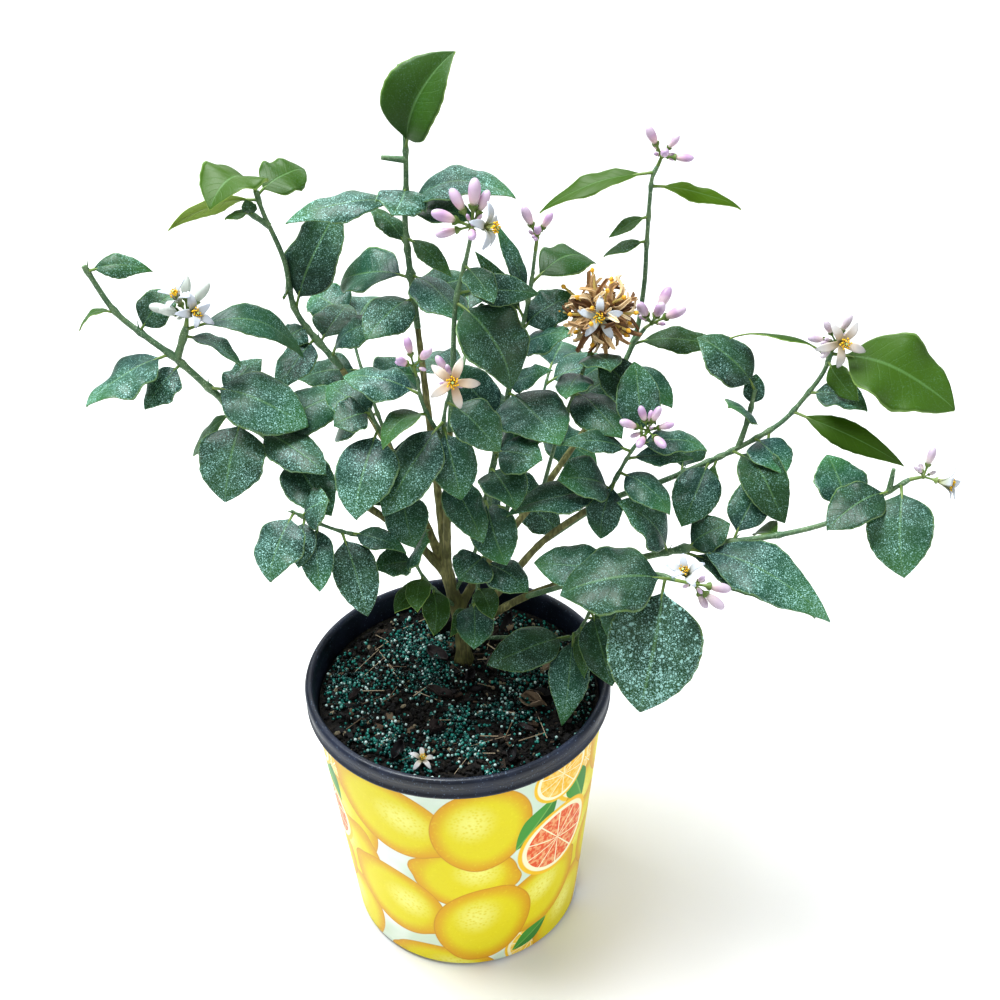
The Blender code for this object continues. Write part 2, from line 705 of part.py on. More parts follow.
def bud_mesh(name, centre, way, length, radius):
    """A bud: a stretched faceted drop on a short stalk, pointing along way."""
    way = Vector(way).normalized()
    turn = way.to_track_quat("Z", "Y").to_matrix().to_4x4()
    reach = PEDICEL_LENGTH + length * 0.3
    stalk = bmesh.new()
    bmesh.ops.create_cone(
        stalk, cap_ends=True, segments=4, radius1=STALK_RADIUS, radius2=STALK_RADIUS,
        depth=reach,
        matrix=Matrix.Translation(centre) @ turn @ Matrix.Translation((0, 0, reach / 2)),
    )
    drop = bmesh.new()
    bmesh.ops.create_icosphere(
        drop, subdivisions=1, radius=1.0,
        matrix=Matrix.Translation(centre) @ turn
        @ Matrix.Translation((0, 0, PEDICEL_LENGTH + length / 2))
        @ Matrix.Diagonal((radius, radius, length / 2, 1.0)),
    )
    meshes = []
    for part in (stalk, drop):
        mesh = bpy.data.meshes.new(name)
        part.to_mesh(mesh)
        part.free()
        meshes.append(mesh)
    return meshes


def flower_meshes(name, centre, way):
    """An open flower: a stalk and a star of petals that face along way."""
    way = Vector(way).normalized()
    turn = way.to_track_quat("Z", "Y").to_matrix().to_4x4()
    meshes = bud_mesh(name, centre, way, BUD_LENGTH * 0.6, BUD_RADIUS)
    heart = centre + way * (PEDICEL_LENGTH + BUD_LENGTH * 0.3)
    half = (PETAL_LENGTH / 2, PETAL_WIDTH / 2, PETAL_THICKNESS / 2, 1.0)
    for i in range(PETAL_COUNT):
        petal = bmesh.new()
        bmesh.ops.create_icosphere(
            petal, subdivisions=1, radius=1.0,
            matrix=Matrix.Translation(heart) @ turn
            @ Matrix.Rotation(math.tau * i / PETAL_COUNT, 4, "Z")
            @ Matrix.Rotation(-PETAL_CUP, 4, "Y")
            @ Matrix.Translation((PETAL_LENGTH / 2, 0, 0))
            @ Matrix.Diagonal(half),
        )
        mesh = bpy.data.meshes.new(name)
        petal.to_mesh(mesh)
        petal.free()
        meshes.append(mesh)
    return meshes


def build_pot():
    """The pot: a thin tapered wall, a flat floor with drain holes and a rolled, banded rim."""
    band_foot = POT_HEIGHT - RIM_BAND_HEIGHT
    web_foot = POT_HEIGHT - RIM_WEB
    band_radius = RIM_RADIUS - BAND_DRAFT
    mouth_radius = RIM_RADIUS - RIM_STEP
    profile = (
        (RIM_RADIUS - RIM_CORNER, POT_HEIGHT),
        (RIM_RADIUS, POT_HEIGHT - RIM_CORNER_DROP),
        (band_radius, band_foot),
        (band_radius - POT_WALL, band_foot),
        (band_radius - POT_WALL, web_foot),
        (mouth_radius, web_foot),
        (wall_radius(band_foot), band_foot),
        (BASE_RADIUS, POT_FLOOR),
        (BASE_RADIUS - FOOT_CHAMFER, 0.0),
        (0.0, 0.0),
        (0.0, POT_FLOOR),
        (BASE_RADIUS - POT_WALL - FLOOR_CORNER, POT_FLOOR),
        (wall_radius(band_foot) - POT_WALL, band_foot),
        (mouth_radius - POT_WALL, web_foot),
        (mouth_radius - POT_WALL + INNER_CORNER, POT_HEIGHT - INNER_CORNER),
        (mouth_radius - POT_WALL + INNER_CORNER * 3, POT_HEIGHT),
    )
    pot = turned("pot", profile, material("pot", POT_GREY, 0.45))
    for i in range(DRAIN_HOLE_COUNT):
        angle = math.tau * (i + 0.5) / DRAIN_HOLE_COUNT
        drill = bmesh.new()
        bmesh.ops.create_cone(
            drill, cap_ends=True, segments=12, radius1=DRAIN_HOLE_RADIUS,
            radius2=DRAIN_HOLE_RADIUS, depth=POT_FLOOR * 4,
            matrix=Matrix.Translation((
                DRAIN_RING_RADIUS * math.cos(angle), DRAIN_RING_RADIUS * math.sin(angle), 0.0
            )),
        )
        mesh = bpy.data.meshes.new("drain_drill")
        drill.to_mesh(mesh)
        drill.free()
        boolean(pot, add_cutter(f"drain_drill_{i}", mesh), "DIFFERENCE")
    return pot


def wall_radius(height):
    """The outer radius of the pot wall at a height."""
    top = POT_HEIGHT - RIM_BAND_HEIGHT
    share = (height - POT_FLOOR) / (top - POT_FLOOR)
    return BASE_RADIUS + (RIM_RADIUS - RIM_STEP - WALL_FLARE - BASE_RADIUS) * share


def build_sleeve():
    """The printed sleeve: a thin tapered skin from under the rim band down to the foot."""
    band_foot = POT_HEIGHT - RIM_BAND_HEIGHT
    low_radius = wall_radius(SLEEVE_FOOT) + GAP
    top_radius = wall_radius(band_foot) + GAP
    profile = (
        (low_radius, SLEEVE_FOOT),
        (top_radius, band_foot),
        (top_radius + SLEEVE_THICKNESS, band_foot),
        (low_radius + SLEEVE_THICKNESS, SLEEVE_FOOT),
    )
    turned("printed_sleeve", profile, material("sleeve", SLEEVE_YELLOW, 0.35))


def mix_top():
    return POT_HEIGHT - MIX_DROP


def build_mix(trunk_socket):
    """The potting mix: it fills the pot and has a socket where the trunk goes down."""
    top = mix_top()
    inner = wall_radius(top) - POT_WALL - GAP * 2
    foot = POT_FLOOR + GAP
    profile = (
        (0.0, top + MIX_CROWN),
        (inner * 0.5, top + MIX_CROWN * 0.8),
        (inner * 0.85, top + MIX_CROWN * 0.2),
        (inner, top - MIX_EDGE_DIP),
        (wall_radius(foot) - POT_WALL - FLOOR_CORNER - GAP * 2, foot),
        (0.0, foot),
    )
    mix = turned("potting_mix", profile, material("mix", MIX_BROWN, 0.95))
    boolean(mix, trunk_socket, "DIFFERENCE")
    return mix


def trunk_route():
    points = [placed(point) for point in TRUNK]
    points[0].z = mix_top() - TRUNK_DEPTH
    return smooth_route(points, LIMB_STEP)


def limb_route(name):
    return smooth_route([placed(point) for point in LIMBS[name]], LIMB_STEP)


def trunk_mesh(spare):
    """The trunk as a tube; spare swells it into the cutter for its socket in the mix."""
    return tube_mesh("trunk", trunk_route(), TRUNK_RADIUS, TRUNK_TOP_RADIUS, 2, spare)


def limb_meshes(spare):
    """Trunk and limbs as tubes; spare swells them into the cutter for the shoots' feet."""
    meshes = [trunk_mesh(spare)]
    for name in LIMBS:
        meshes.append(
            tube_mesh(name, limb_route(name), LIMB_RADIUS, LIMB_TIP_RADIUS, 1, spare)
        )
    return meshes


def twig_routes(shoot):
    return [
        smooth_route([placed(point) for point in twig], TWIG_STEP)
        for twig in SHOOTS[shoot]["twigs"]
    ]


def stalk_mesh(name, plan):
    """The stalk that carries a cluster's centre. Its foot stands just clear of the twig's end."""
    shoot, twig = plan["stem"]
    route = twig_routes(shoot)[twig]
    centre = placed(plan["centre"])
    way = (route[-1] - route[-2]).normalized()
    lean = way.angle(centre - route[-1])
    foot = route[-1] + way * (GAP + TWIG_TIP_RADIUS * math.sin(lean))
    return tube_mesh(name, [foot, centre], TWIG_TIP_RADIUS, TWIG_TIP_RADIUS, 1)


def knot_mesh(name, centre):
    """The small knot where the stalks of a cluster meet."""
    knot = bmesh.new()
    bmesh.ops.create_icosphere(
        knot, subdivisions=1, radius=KNOT_RADIUS, matrix=Matrix.Translation(centre)
    )
    mesh = bpy.data.meshes.new(name)
    knot.to_mesh(mesh)
    knot.free()
    return mesh


def cluster_meshes(name, plan):
    """A blossom cluster: a stalk from the twig's end, buds and open flowers."""
    centre = placed(plan["centre"])
    meshes = [stalk_mesh(name, plan), knot_mesh(name, centre)]
    for bud in plan["buds"]:
        meshes += bud_mesh(name, centre, bud, BUD_LENGTH, BUD_RADIUS)
    for flower in plan["flowers"]:
        meshes += flower_meshes(name, centre, flower)
    return meshes


def spent_head_meshes():
    """The spent head: a ball of shrivelled petals with fruitlet stalks standing out of it."""
    centre = placed(SPENT_HEAD["centre"])
    meshes = [stalk_mesh("spent_stalk", SPENT_HEAD)]
    core = bmesh.new()
    bmesh.ops.create_icosphere(
        core, subdivisions=2, radius=SPENT_HEAD_RADIUS,
        matrix=Matrix.Translation(centre) @ Matrix.Diagonal((1.0, 1.0, 0.75, 1.0)),
    )
    mesh = bpy.data.meshes.new("spent_core")
    core.to_mesh(mesh)
    core.free()
    meshes.append(mesh)
    for i in range(SPENT_STALK_COUNT):
        height = 1 - 1.5 * (i + 0.5) / SPENT_STALK_COUNT
        angle = i * math.radians(137.5)
        ring = math.sqrt(1 - height * height)
        way = Vector((ring * math.cos(angle), ring * math.sin(angle), height))
        stalk = bmesh.new()
        bmesh.ops.create_cone(
            stalk, cap_ends=True, segments=5, radius1=SPENT_STALK_RADIUS,
            radius2=SPENT_STALK_TIP_RADIUS, depth=SPENT_STALK_REACH,
            matrix=Matrix.Translation(centre + way * SPENT_STALK_REACH / 2)
            @ way.to_track_quat("Z", "Y").to_matrix().to_4x4(),
        )
        mesh = bpy.data.meshes.new("spent_stalk")
        stalk.to_mesh(mesh)
        stalk.free()
        meshes.append(mesh)
    return meshes


def build_plant(pot, mix):
    """The wood, then blossoms, then the shoots, whose leaves settle clear of all the rest."""
    wood = add_object(
        "trunk_and_limbs", joined("limbs", limb_meshes(0.0)), PARTS,
        material("bark", BARK, 0.8),
    )
    foot_cutter = add_cutter("foot_cutter", joined("swollen_limbs", limb_meshes(GAP)))
    leaf_paint = material("leaf", LEAF_GREEN, 0.5)
    petal_paint = material("petal", PETAL_WHITE, 0.55)
    obstacles = [tree_of(evaluated_mesh(piece)) for piece in (pot, mix, wood)]
    for name, plan in BLOSSOMS.items():
        mesh = joined(name, cluster_meshes(name, plan), "MANIFOLD")
        obstacles.append(tree_of(mesh))
        add_object(name, mesh, PARTS, petal_paint)
    mesh = joined("spent", spent_head_meshes())
    obstacles.append(tree_of(mesh))
    add_object("spent_blossom_head", mesh, PARTS, material("spent", SPENT_TAN, 0.9))
    twigs = {}
    trees = {}
    for name in SHOOTS:
        girth = SHOOTS[name].get("girth", 1.0)
        twigs[name] = [
            tube_mesh(name, route, TWIG_RADIUS * girth, TWIG_TIP_RADIUS * girth, 1)
            for route in twig_routes(name)
        ]
        trees[name] = [tree_of(mesh) for mesh in twigs[name]]
    for name, plan in SHOOTS.items():
        routes = twig_routes(name)
        others = [tree for other in SHOOTS if other != name for tree in trees[other]]
        leaves = []
        for leaf in plan["leaves"]:
            mesh = settled_leaf(name, routes[leaf[0]], leaf, obstacles + others)
            obstacles.append(tree_of(mesh))
            leaves.append(mesh)
        shoot = add_object(name, joined(name, twigs[name] + leaves), PARTS, leaf_paint)
        boolean(shoot, foot_cutter, "DIFFERENCE")


clear_scene()
PARTS = new_collection("potted_lemon_tree")
CUTTERS = new_collection("cutters")
POT = build_pot()
build_sleeve()
SOCKET = add_cutter("trunk_socket", trunk_mesh(GAP))
MIX = build_mix(SOCKET)
build_plant(POT, MIX)
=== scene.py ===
import math
import random

import bpy
import numpy as np
from mathutils import Matrix, Vector


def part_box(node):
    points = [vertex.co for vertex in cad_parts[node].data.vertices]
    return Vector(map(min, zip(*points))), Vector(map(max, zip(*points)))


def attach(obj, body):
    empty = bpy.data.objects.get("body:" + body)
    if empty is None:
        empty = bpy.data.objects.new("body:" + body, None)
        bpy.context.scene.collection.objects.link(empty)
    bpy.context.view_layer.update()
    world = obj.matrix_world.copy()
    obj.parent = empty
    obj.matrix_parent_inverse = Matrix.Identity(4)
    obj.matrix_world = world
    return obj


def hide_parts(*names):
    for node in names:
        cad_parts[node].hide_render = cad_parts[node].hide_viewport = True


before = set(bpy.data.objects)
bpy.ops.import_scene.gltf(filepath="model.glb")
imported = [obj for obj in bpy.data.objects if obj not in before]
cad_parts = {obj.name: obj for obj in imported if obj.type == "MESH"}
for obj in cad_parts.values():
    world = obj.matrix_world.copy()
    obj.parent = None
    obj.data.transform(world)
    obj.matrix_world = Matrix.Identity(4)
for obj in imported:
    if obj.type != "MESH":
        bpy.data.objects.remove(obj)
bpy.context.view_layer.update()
bpy.ops.object.select_all(action="DESELECT")

# ---------------------------------------------------------------------------------------------
# Floor, light and camera. The tree stands on a plain pale floor in soft studio light, seen from
# above and in front, as someone looks down at a pot by their feet.

FLOOR_WHITE = (0.92, 0.92, 0.92)
FLOOR_SIZE = 8.0
CAMERA_PLACE = (0.028, -0.690, 0.812)
CAMERA_LENS = 50.4
LOOK_DOWN = math.radians(34.7)
LOOK_RIGHT = math.radians(0.2)
CAMERA_ROLL = math.radians(-1.5)


def plug(tree, socket, value):
    """Wires a socket to another one, or sets it to a plain value."""
    if isinstance(value, bpy.types.NodeSocket):
        tree.links.new(value, socket)
    elif isinstance(value, tuple) and len(value) == 3 and socket.type == "RGBA":
        socket.default_value = (*value, 1.0)
    else:
        socket.default_value = value


def shader_node(tree, kind, wires=None, **settings):
    """A shader node with its settings, and its inputs filled by name."""
    made = tree.nodes.new(kind)
    for name, value in settings.items():
        setattr(made, name, value)
    for name, value in (wires or {}).items():
        plug(tree, made.inputs[name], value)
    return made


def new_finish(name, **sockets):
    """A material with one Principled shader, whose constant sockets are set by name."""
    finish = bpy.data.materials.new(name)
    finish.use_nodes = True
    shader = finish.node_tree.nodes["Principled BSDF"]
    for socket, value in sockets.items():
        plug(finish.node_tree, shader.inputs[socket.replace("_", " ")], value)
    return finish, finish.node_tree, shader


bpy.ops.mesh.primitive_plane_add(size=FLOOR_SIZE)
floor = bpy.context.object
floor.name = "floor"
floor_finish, _, _ = new_finish("floor_white", Base_Color=FLOOR_WHITE, Roughness=0.85)
floor.data.materials.append(floor_finish)

turn = (
    Matrix.Rotation(-LOOK_RIGHT, 4, "Z")
    @ Matrix.Rotation(math.pi / 2 - LOOK_DOWN, 4, "X")
    @ Matrix.Rotation(CAMERA_ROLL, 4, "Z")
)
bpy.ops.object.camera_add(location=CAMERA_PLACE, rotation=turn.to_euler())
camera = bpy.context.object
camera.data.lens = CAMERA_LENS
camera.data.sensor_width = 36.0
camera.data.clip_start = 0.02
bpy.context.scene.camera = camera


def softbox(name, place, aim, size, power, colour):
    """A square soft light at a place, turned to face a point."""
    bpy.ops.object.light_add(type="AREA", location=place)
    lamp = bpy.context.object
    lamp.name = name
    lamp.rotation_euler = (Vector(aim) - Vector(place)).to_track_quat("-Z", "Y").to_euler()
    lamp.data.size = size
    lamp.data.energy = power
    lamp.data.color = colour


softbox("sky_softbox", (-0.5, 0.25, 1.9), (0.0, 0.05, 0.35), 1.0, 48.0, (0.94, 0.98, 1.0))
softbox("front_softbox", (-0.9, -1.5, 1.3), (0.0, 0.0, 0.25), 1.2, 4.5, (1.0, 0.98, 0.95))
softbox("right_softbox", (1.5, -0.6, 1.0), (0.0, 0.0, 0.3), 1.0, 6.5, (1.0, 0.99, 0.97))
softbox("floor_softbox", (0.0, 2.9, 1.5), (0.0, 2.6, 0.0), 2.0, 30.0, (0.97, 0.98, 1.0))
world = bpy.data.worlds.new("studio")
world.use_nodes = True
backdrop = world.node_tree.nodes["Background"]
backdrop.inputs["Color"].default_value = (0.95, 0.98, 1.0, 1.0)
seen = shader_node(world.node_tree, "ShaderNodeLightPath").outputs["Is Camera Ray"]
strength = shader_node(
    world.node_tree, "ShaderNodeMapRange", {"Value": seen, "To Min": 0.38, "To Max": 0.92},
)
world.node_tree.links.new(strength.outputs["Result"], backdrop.inputs["Strength"])
bpy.context.scene.world = world
bpy.context.scene.view_settings.view_transform = "Standard"
bpy.context.scene.view_settings.look = "Medium High Contrast"

# ---------------------------------------------------------------------------------------------
# Nursery pot. One thin tapered moulding in blue-black plastic. Its lip rolls over into a beaded
# skirt, and drain holes go through its floor.

POT_LOW, POT_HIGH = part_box("pot")
POT_HEIGHT = POT_HIGH.z
RIM_RADIUS = POT_HIGH.x
FOOT_RADIUS = 0.078
SHOULDER_RADIUS = 0.0948
SHOULDER_HEIGHT = 0.185
POT_FLOOR = 0.0024
POT_SIDES = 144
DRAIN_HOLES = 8
DRAIN_RADIUS = 0.006
DRAIN_RING = 0.056
# (radius, height), up the outside, under the lip, round the skirt, over the lip, down the inside
POT_RINGS = (
    (FOOT_RADIUS - 0.0020, 0.0),
    (FOOT_RADIUS, POT_FLOOR),
    (SHOULDER_RADIUS, SHOULDER_HEIGHT),
    (RIM_RADIUS - 0.0040, POT_HEIGHT - 0.0048),
    (RIM_RADIUS - 0.0032, POT_HEIGHT - 0.0040),
    (RIM_RADIUS - 0.0020, POT_HEIGHT - 0.0046),
    (RIM_RADIUS - 0.0020, SHOULDER_HEIGHT + 0.0002),
    (RIM_RADIUS - 0.0006, SHOULDER_HEIGHT),
    (RIM_RADIUS - 0.0001, SHOULDER_HEIGHT + 0.0008),
    (RIM_RADIUS - 0.0001, SHOULDER_HEIGHT + 0.0018),
    (RIM_RADIUS - 0.0009, SHOULDER_HEIGHT + 0.0026),
    (RIM_RADIUS - 0.0010, SHOULDER_HEIGHT + 0.0072),
    (RIM_RADIUS - 0.0002, SHOULDER_HEIGHT + 0.0084),
    (RIM_RADIUS, SHOULDER_HEIGHT + 0.0100),
    (RIM_RADIUS, POT_HEIGHT - 0.0026),
    (RIM_RADIUS - 0.0005, POT_HEIGHT - 0.0012),
    (RIM_RADIUS - 0.0015, POT_HEIGHT - 0.0003),
    (RIM_RADIUS - 0.0028, POT_HEIGHT),
    (RIM_RADIUS - 0.0042, POT_HEIGHT - 0.0004),
    (RIM_RADIUS - 0.0052, POT_HEIGHT - 0.0015),
    (RIM_RADIUS - 0.0057, POT_HEIGHT - 0.0032),
    (SHOULDER_RADIUS - 0.0016, SHOULDER_HEIGHT),
    (FOOT_RADIUS - 0.0028, POT_FLOOR),
)


def maths(tree, operation, first, second=0.0):
    node = tree.nodes.new("ShaderNodeMath")
    node.operation = operation
    plug(tree, node.inputs[0], first)
    plug(tree, node.inputs[1], second)
    return node.outputs[0]


def spread(tree, value, low, high, to_low=0.0, to_high=1.0):
    """A value between low and high, spread smoothly over another span and clamped to it."""
    node = shader_node(
        tree, "ShaderNodeMapRange",
        {"Value": value, "From Min": low, "From Max": high, "To Min": to_low, "To Max": to_high},
        interpolation_type="SMOOTHSTEP",
    )
    return node.outputs["Result"]


def blend_colours(tree, share, low, high):
    node = tree.nodes.new("ShaderNodeMix")
    node.data_type = "RGBA"
    plug(tree, node.inputs[0], share)
    plug(tree, node.inputs[6], low)
    plug(tree, node.inputs[7], high)
    return node.outputs[2]


def cloudy(tree, scale, detail=3.0, where=None):
    """Soft random patches over the piece, from 0 to 1."""
    where = where or tree.nodes.new("ShaderNodeTexCoord").outputs["Object"]
    wires = {"Vector": where, "Scale": scale, "Detail": detail}
    return shader_node(tree, "ShaderNodeTexNoise", wires).outputs["Fac"]


def relief(tree, shader, height, depth, strength=1.0):
    """Gives a finish a fine relief of a depth in metres."""
    wires = {"Height": height, "Distance": depth, "Strength": strength}
    bump = shader_node(tree, "ShaderNodeBump", wires)
    tree.links.new(bump.outputs["Normal"], shader.inputs["Normal"])


def new_group(name, inputs, outputs):
    """An empty shader group with named float, colour and vector sockets."""
    kinds = {"float": "NodeSocketFloat", "colour": "NodeSocketColor", "vector": "NodeSocketVector"}
    group = bpy.data.node_groups.new(name, "ShaderNodeTree")
    for socket, kind in inputs.items():
        group.interface.new_socket(socket, in_out="INPUT", socket_type=kinds[kind])
    for socket, kind in outputs.items():
        group.interface.new_socket(socket, in_out="OUTPUT", socket_type=kinds[kind])
    return group, group.nodes.new("NodeGroupInput").outputs, group.nodes.new("NodeGroupOutput").inputs


def use_group(tree, group, wires):
    node = tree.nodes.new("ShaderNodeGroup")
    node.node_tree = group
    for name, value in wires.items():
        plug(tree, node.inputs[name], value)
    return node.outputs


# Dried spray leaves pale specks on everything that stood in the nursery
dried_specks, given, made = new_group(
    "dried_specks", {"Specks per metre": "float", "Cover": "float"}, {"Mask": "float"}
)
mask = 0.0
for finer in (1.0, 1.8):
    scale = maths(dried_specks, "MULTIPLY", given["Specks per metre"], finer)
    place = dried_specks.nodes.new("ShaderNodeTexCoord").outputs["Object"]
    cells = shader_node(dried_specks, "ShaderNodeTexVoronoi", {"Vector": place, "Scale": scale})
    dice = shader_node(dried_specks, "ShaderNodeSeparateColor", {"Color": cells.outputs["Color"]})
    kept = maths(dried_specks, "LESS_THAN", dice.outputs[0], given["Cover"])
    reach = maths(dried_specks, "MULTIPLY_ADD", dice.outputs[1], 0.22)
    reach.node.inputs[2].default_value = 0.22
    near = maths(dried_specks, "SUBTRACT", reach, cells.outputs["Distance"])
    spot = maths(dried_specks, "MULTIPLY", kept, spread(dried_specks, near, 0.0, 0.12))
    mask = maths(dried_specks, "MAXIMUM", mask, spot)
dried_specks.links.new(mask, made["Mask"])

pot_plastic, tree, shader = new_finish("pot_plastic")
scuffs = cloudy(tree, 38.0, 5.0)
specks = use_group(tree, dried_specks, {"Specks per metre": 620.0, "Cover": 0.16})["Mask"]
navy = blend_colours(
    tree, spread(tree, scuffs, 0.35, 0.75), (0.005, 0.008, 0.017), (0.014, 0.022, 0.050),
)
plug(tree, shader.inputs["Base Color"], blend_colours(tree, specks, navy, (0.07, 0.10, 0.15)))
plug(tree, shader.inputs["Roughness"], spread(tree, scuffs, 0.3, 0.7, 0.30, 0.52))
relief(tree, shader, cloudy(tree, 900.0, 2.0), 0.00012, 0.5)


def raise_rings(rings):
    """Draws the selected edge loop up, or down, through rings of (radius, height)."""
    for (radius, height), (next_radius, next_height) in zip(rings, rings[1:]):
        rise = (0.0, 0.0, next_height - height)
        bpy.ops.mesh.extrude_region_move(TRANSFORM_OT_translate={"value": rise})
        grow = next_radius / radius
        bpy.ops.transform.resize(value=(grow, grow, 1.0), center_override=(0, 0, next_height))


def turned_piece(name, rings, sides, fill="NGON"):
    """A round piece drawn up from its first ring. It is left in edit mode, last ring selected."""
    radius, height = rings[0]
    bpy.ops.object.select_all(action="DESELECT")
    bpy.ops.mesh.primitive_circle_add(
        vertices=sides, radius=radius, fill_type=fill, location=(0, 0, height)
    )
    piece = bpy.context.object
    piece.name = name
    bpy.ops.object.transform_apply()
    bpy.ops.object.mode_set(mode="EDIT")
    bpy.ops.mesh.select_mode(type="EDGE")
    raise_rings(rings)
    return piece


def apply_modifier(piece, kind, **settings):
    """Adds a modifier to the piece, sets it and applies it."""
    bpy.context.view_layer.objects.active = piece
    added = piece.modifiers.new(kind.lower(), kind)
    for name, value in settings.items():
        setattr(added, name, value)
    bpy.ops.object.modifier_apply(modifier=added.name)


def smooth_faces(piece, angle=40.0):
    bpy.ops.object.select_all(action="DESELECT")
    piece.select_set(True)
    bpy.context.view_layer.objects.active = piece
    bpy.ops.object.shade_smooth_by_angle(angle=math.radians(angle))


def hand_over(piece, slot, *nodes):
    """A finished piece hangs from the root body, and its CAD nodes are hidden."""
    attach(piece, "root")
    if nodes:
        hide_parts(*nodes)


pot = turned_piece("nursery_pot", POT_RINGS, POT_SIDES)
bpy.ops.mesh.edge_face_add()
bpy.ops.mesh.select_all(action="SELECT")
bpy.ops.mesh.normals_make_consistent(inside=False)
bpy.ops.object.mode_set(mode="OBJECT")
drills = []
for i in range(DRAIN_HOLES):
    angle = math.tau * (i + 0.5) / DRAIN_HOLES
    bpy.ops.mesh.primitive_cylinder_add(
        vertices=24, radius=DRAIN_RADIUS, depth=POT_FLOOR * 4,
        location=(DRAIN_RING * math.cos(angle), DRAIN_RING * math.sin(angle), 0),
    )
    drills.append(bpy.context.object)
for drill in drills:
    apply_modifier(pot, "BOOLEAN", object=drill, operation="DIFFERENCE")
    bpy.data.objects.remove(drill)
pot.data.materials.append(pot_plastic)
smooth_faces(pot, 50.0)
hand_over(pot, "pot_plastic", "pot")

# ---------------------------------------------------------------------------------------------
# Printed sleeve. A thin plastic film that fits round the tapered wall from the skirt to the foot,
# printed with lemons on pale green-white.

SLEEVE_LOW, SLEEVE_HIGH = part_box("printed_sleeve")
SLEEVE_FILM = 0.0006
SLEEVE_TOP_RADIUS = SLEEVE_HIGH.x - SLEEVE_FILM
SLEEVE_FOOT_RADIUS = FOOT_RADIUS + 0.0004
FILM_SWELL = 0.0004
PRINT_REPEATS = 3
REPEAT_DEGREES = 360.0 / PRINT_REPEATS
PRINT_WIDTH = 0.182
# Each lemon: degrees from the front, height, half length, half width, tilt in degrees and how far
# its nipple stands out; back to front
PRINTED_LEMONS = (
    (-58.0, 0.118, 0.040, 0.031, 70.0, 0.08),
    (60.0, 0.084, 0.040, 0.031, 60.0, 0.08),
    (55.0, 0.020, 0.040, 0.029, 62.0, 0.08),
    (36.0, 0.058, 0.038, 0.029, 38.0, 0.08),
    (1.0, 0.099, 0.035, 0.031, -16.0, 0.10),
    (-33.0, 0.064, 0.039, 0.032, -36.0, 0.07),
    (-12.0, -0.004, 0.042, 0.025, -8.0, 0.08),
    (-30.0, 0.152, 0.043, 0.031, -34.0, 0.08),
    (8.5, 0.147, 0.0400, 0.0315, 84.0, 0.02),
    (8.0, 0.047, 0.041, 0.0340, 66.0, 0.03),
)
# Each cut slice: degrees from the front, height, radius and flesh; some lie over the lemons
PRINTED_SLICES = ((60.0, 0.164, 0.030, (0.88, 0.52, 0.01)), (33.0, 0.010, 0.022, (0.90, 0.58, 0.02)))
FRONT_SLICES = ((44.0, 0.172, 0.022, (0.90, 0.50, 0.01)), (44.0, 0.110, 0.031, (0.80, 0.10, 0.02)))
# Each printed leaf: degrees from the front, height, half length, half width, tilt in degrees
PRINTED_LEAVES = (
    (32.0, 0.138, 0.024, 0.011, 52.0), (54.0, 0.150, 0.024, 0.011, 112.0),
    (32.0, 0.018, 0.018, 0.008, 35.0),
)

printed_place, given, made = new_group(
    "printed_place",
    {"Around": "float", "Up": "float", "Centre around": "float", "Centre up": "float",
     "Tilt": "float", "Half length": "float", "Half width": "float"},
    {"Place": "vector", "Reach": "float"},
)
offset = shader_node(printed_place, "ShaderNodeMath", operation="WRAP")
plug(
    printed_place, offset.inputs[0],
    maths(printed_place, "SUBTRACT", given["Around"], given["Centre around"]),
)
offset.inputs[1].default_value = 0.5
offset.inputs[2].default_value = -0.5
flat = shader_node(
    printed_place, "ShaderNodeCombineXYZ",
    {"X": maths(printed_place, "MULTIPLY", offset.outputs[0], PRINT_WIDTH),
     "Y": maths(printed_place, "SUBTRACT", given["Up"], given["Centre up"])},
)
swung = shader_node(
    printed_place, "ShaderNodeVectorRotate",
    {"Vector": flat.outputs["Vector"], "Angle": maths(printed_place, "MULTIPLY", given["Tilt"], -1.0)},
    rotation_type="Z_AXIS",
)
parts = shader_node(printed_place, "ShaderNodeSeparateXYZ", {"Vector": swung.outputs["Vector"]})
place = shader_node(
    printed_place, "ShaderNodeCombineXYZ",
    {"X": maths(printed_place, "DIVIDE", parts.outputs["X"], given["Half length"]),
     "Y": maths(printed_place, "DIVIDE", parts.outputs["Y"], given["Half width"])},
).outputs["Vector"]
reach = shader_node(printed_place, "ShaderNodeVectorMath", {0: place}, operation="LENGTH")
printed_place.links.new(place, made["Place"])
printed_place.links.new(reach.outputs["Value"], made["Reach"])

printed_lemon, given, made = new_group(
    "printed_lemon",
    {"Under": "colour", "Around": "float", "Up": "float", "Centre around": "float",
     "Centre up": "float", "Tilt": "float", "Half length": "float", "Half width": "float",
     "Nipple": "float"},
    {"Colour": "colour"},
)
names = ("Around", "Up", "Centre around", "Centre up", "Tilt", "Half length", "Half width")
spot = use_group(printed_lemon, printed_place, {name: given[name] for name in names})
axes = shader_node(printed_lemon, "ShaderNodeSeparateXYZ", {"Vector": spot["Place"]})
along = maths(printed_lemon, "ABSOLUTE", axes.outputs["X"])
across = maths(printed_lemon, "ABSOLUTE", axes.outputs["Y"])
nipple = maths(
    printed_lemon, "MULTIPLY",
    spread(printed_lemon, along, 0.78, 1.02),
    maths(
        printed_lemon, "MULTIPLY", spread(printed_lemon, across, 0.05, 0.42, 1.0, 0.0),
        given["Nipple"],
    ),
)
reach = maths(printed_lemon, "SUBTRACT", spot["Reach"], nipple)
print_place = shader_node(printed_lemon, "ShaderNodeTexCoord").outputs["Object"]
grain = cloudy(printed_lemon, 420.0, 1.0, print_place)
pits = shader_node(
    printed_lemon, "ShaderNodeTexVoronoi", {"Vector": print_place, "Scale": 390.0}
).outputs["Distance"]
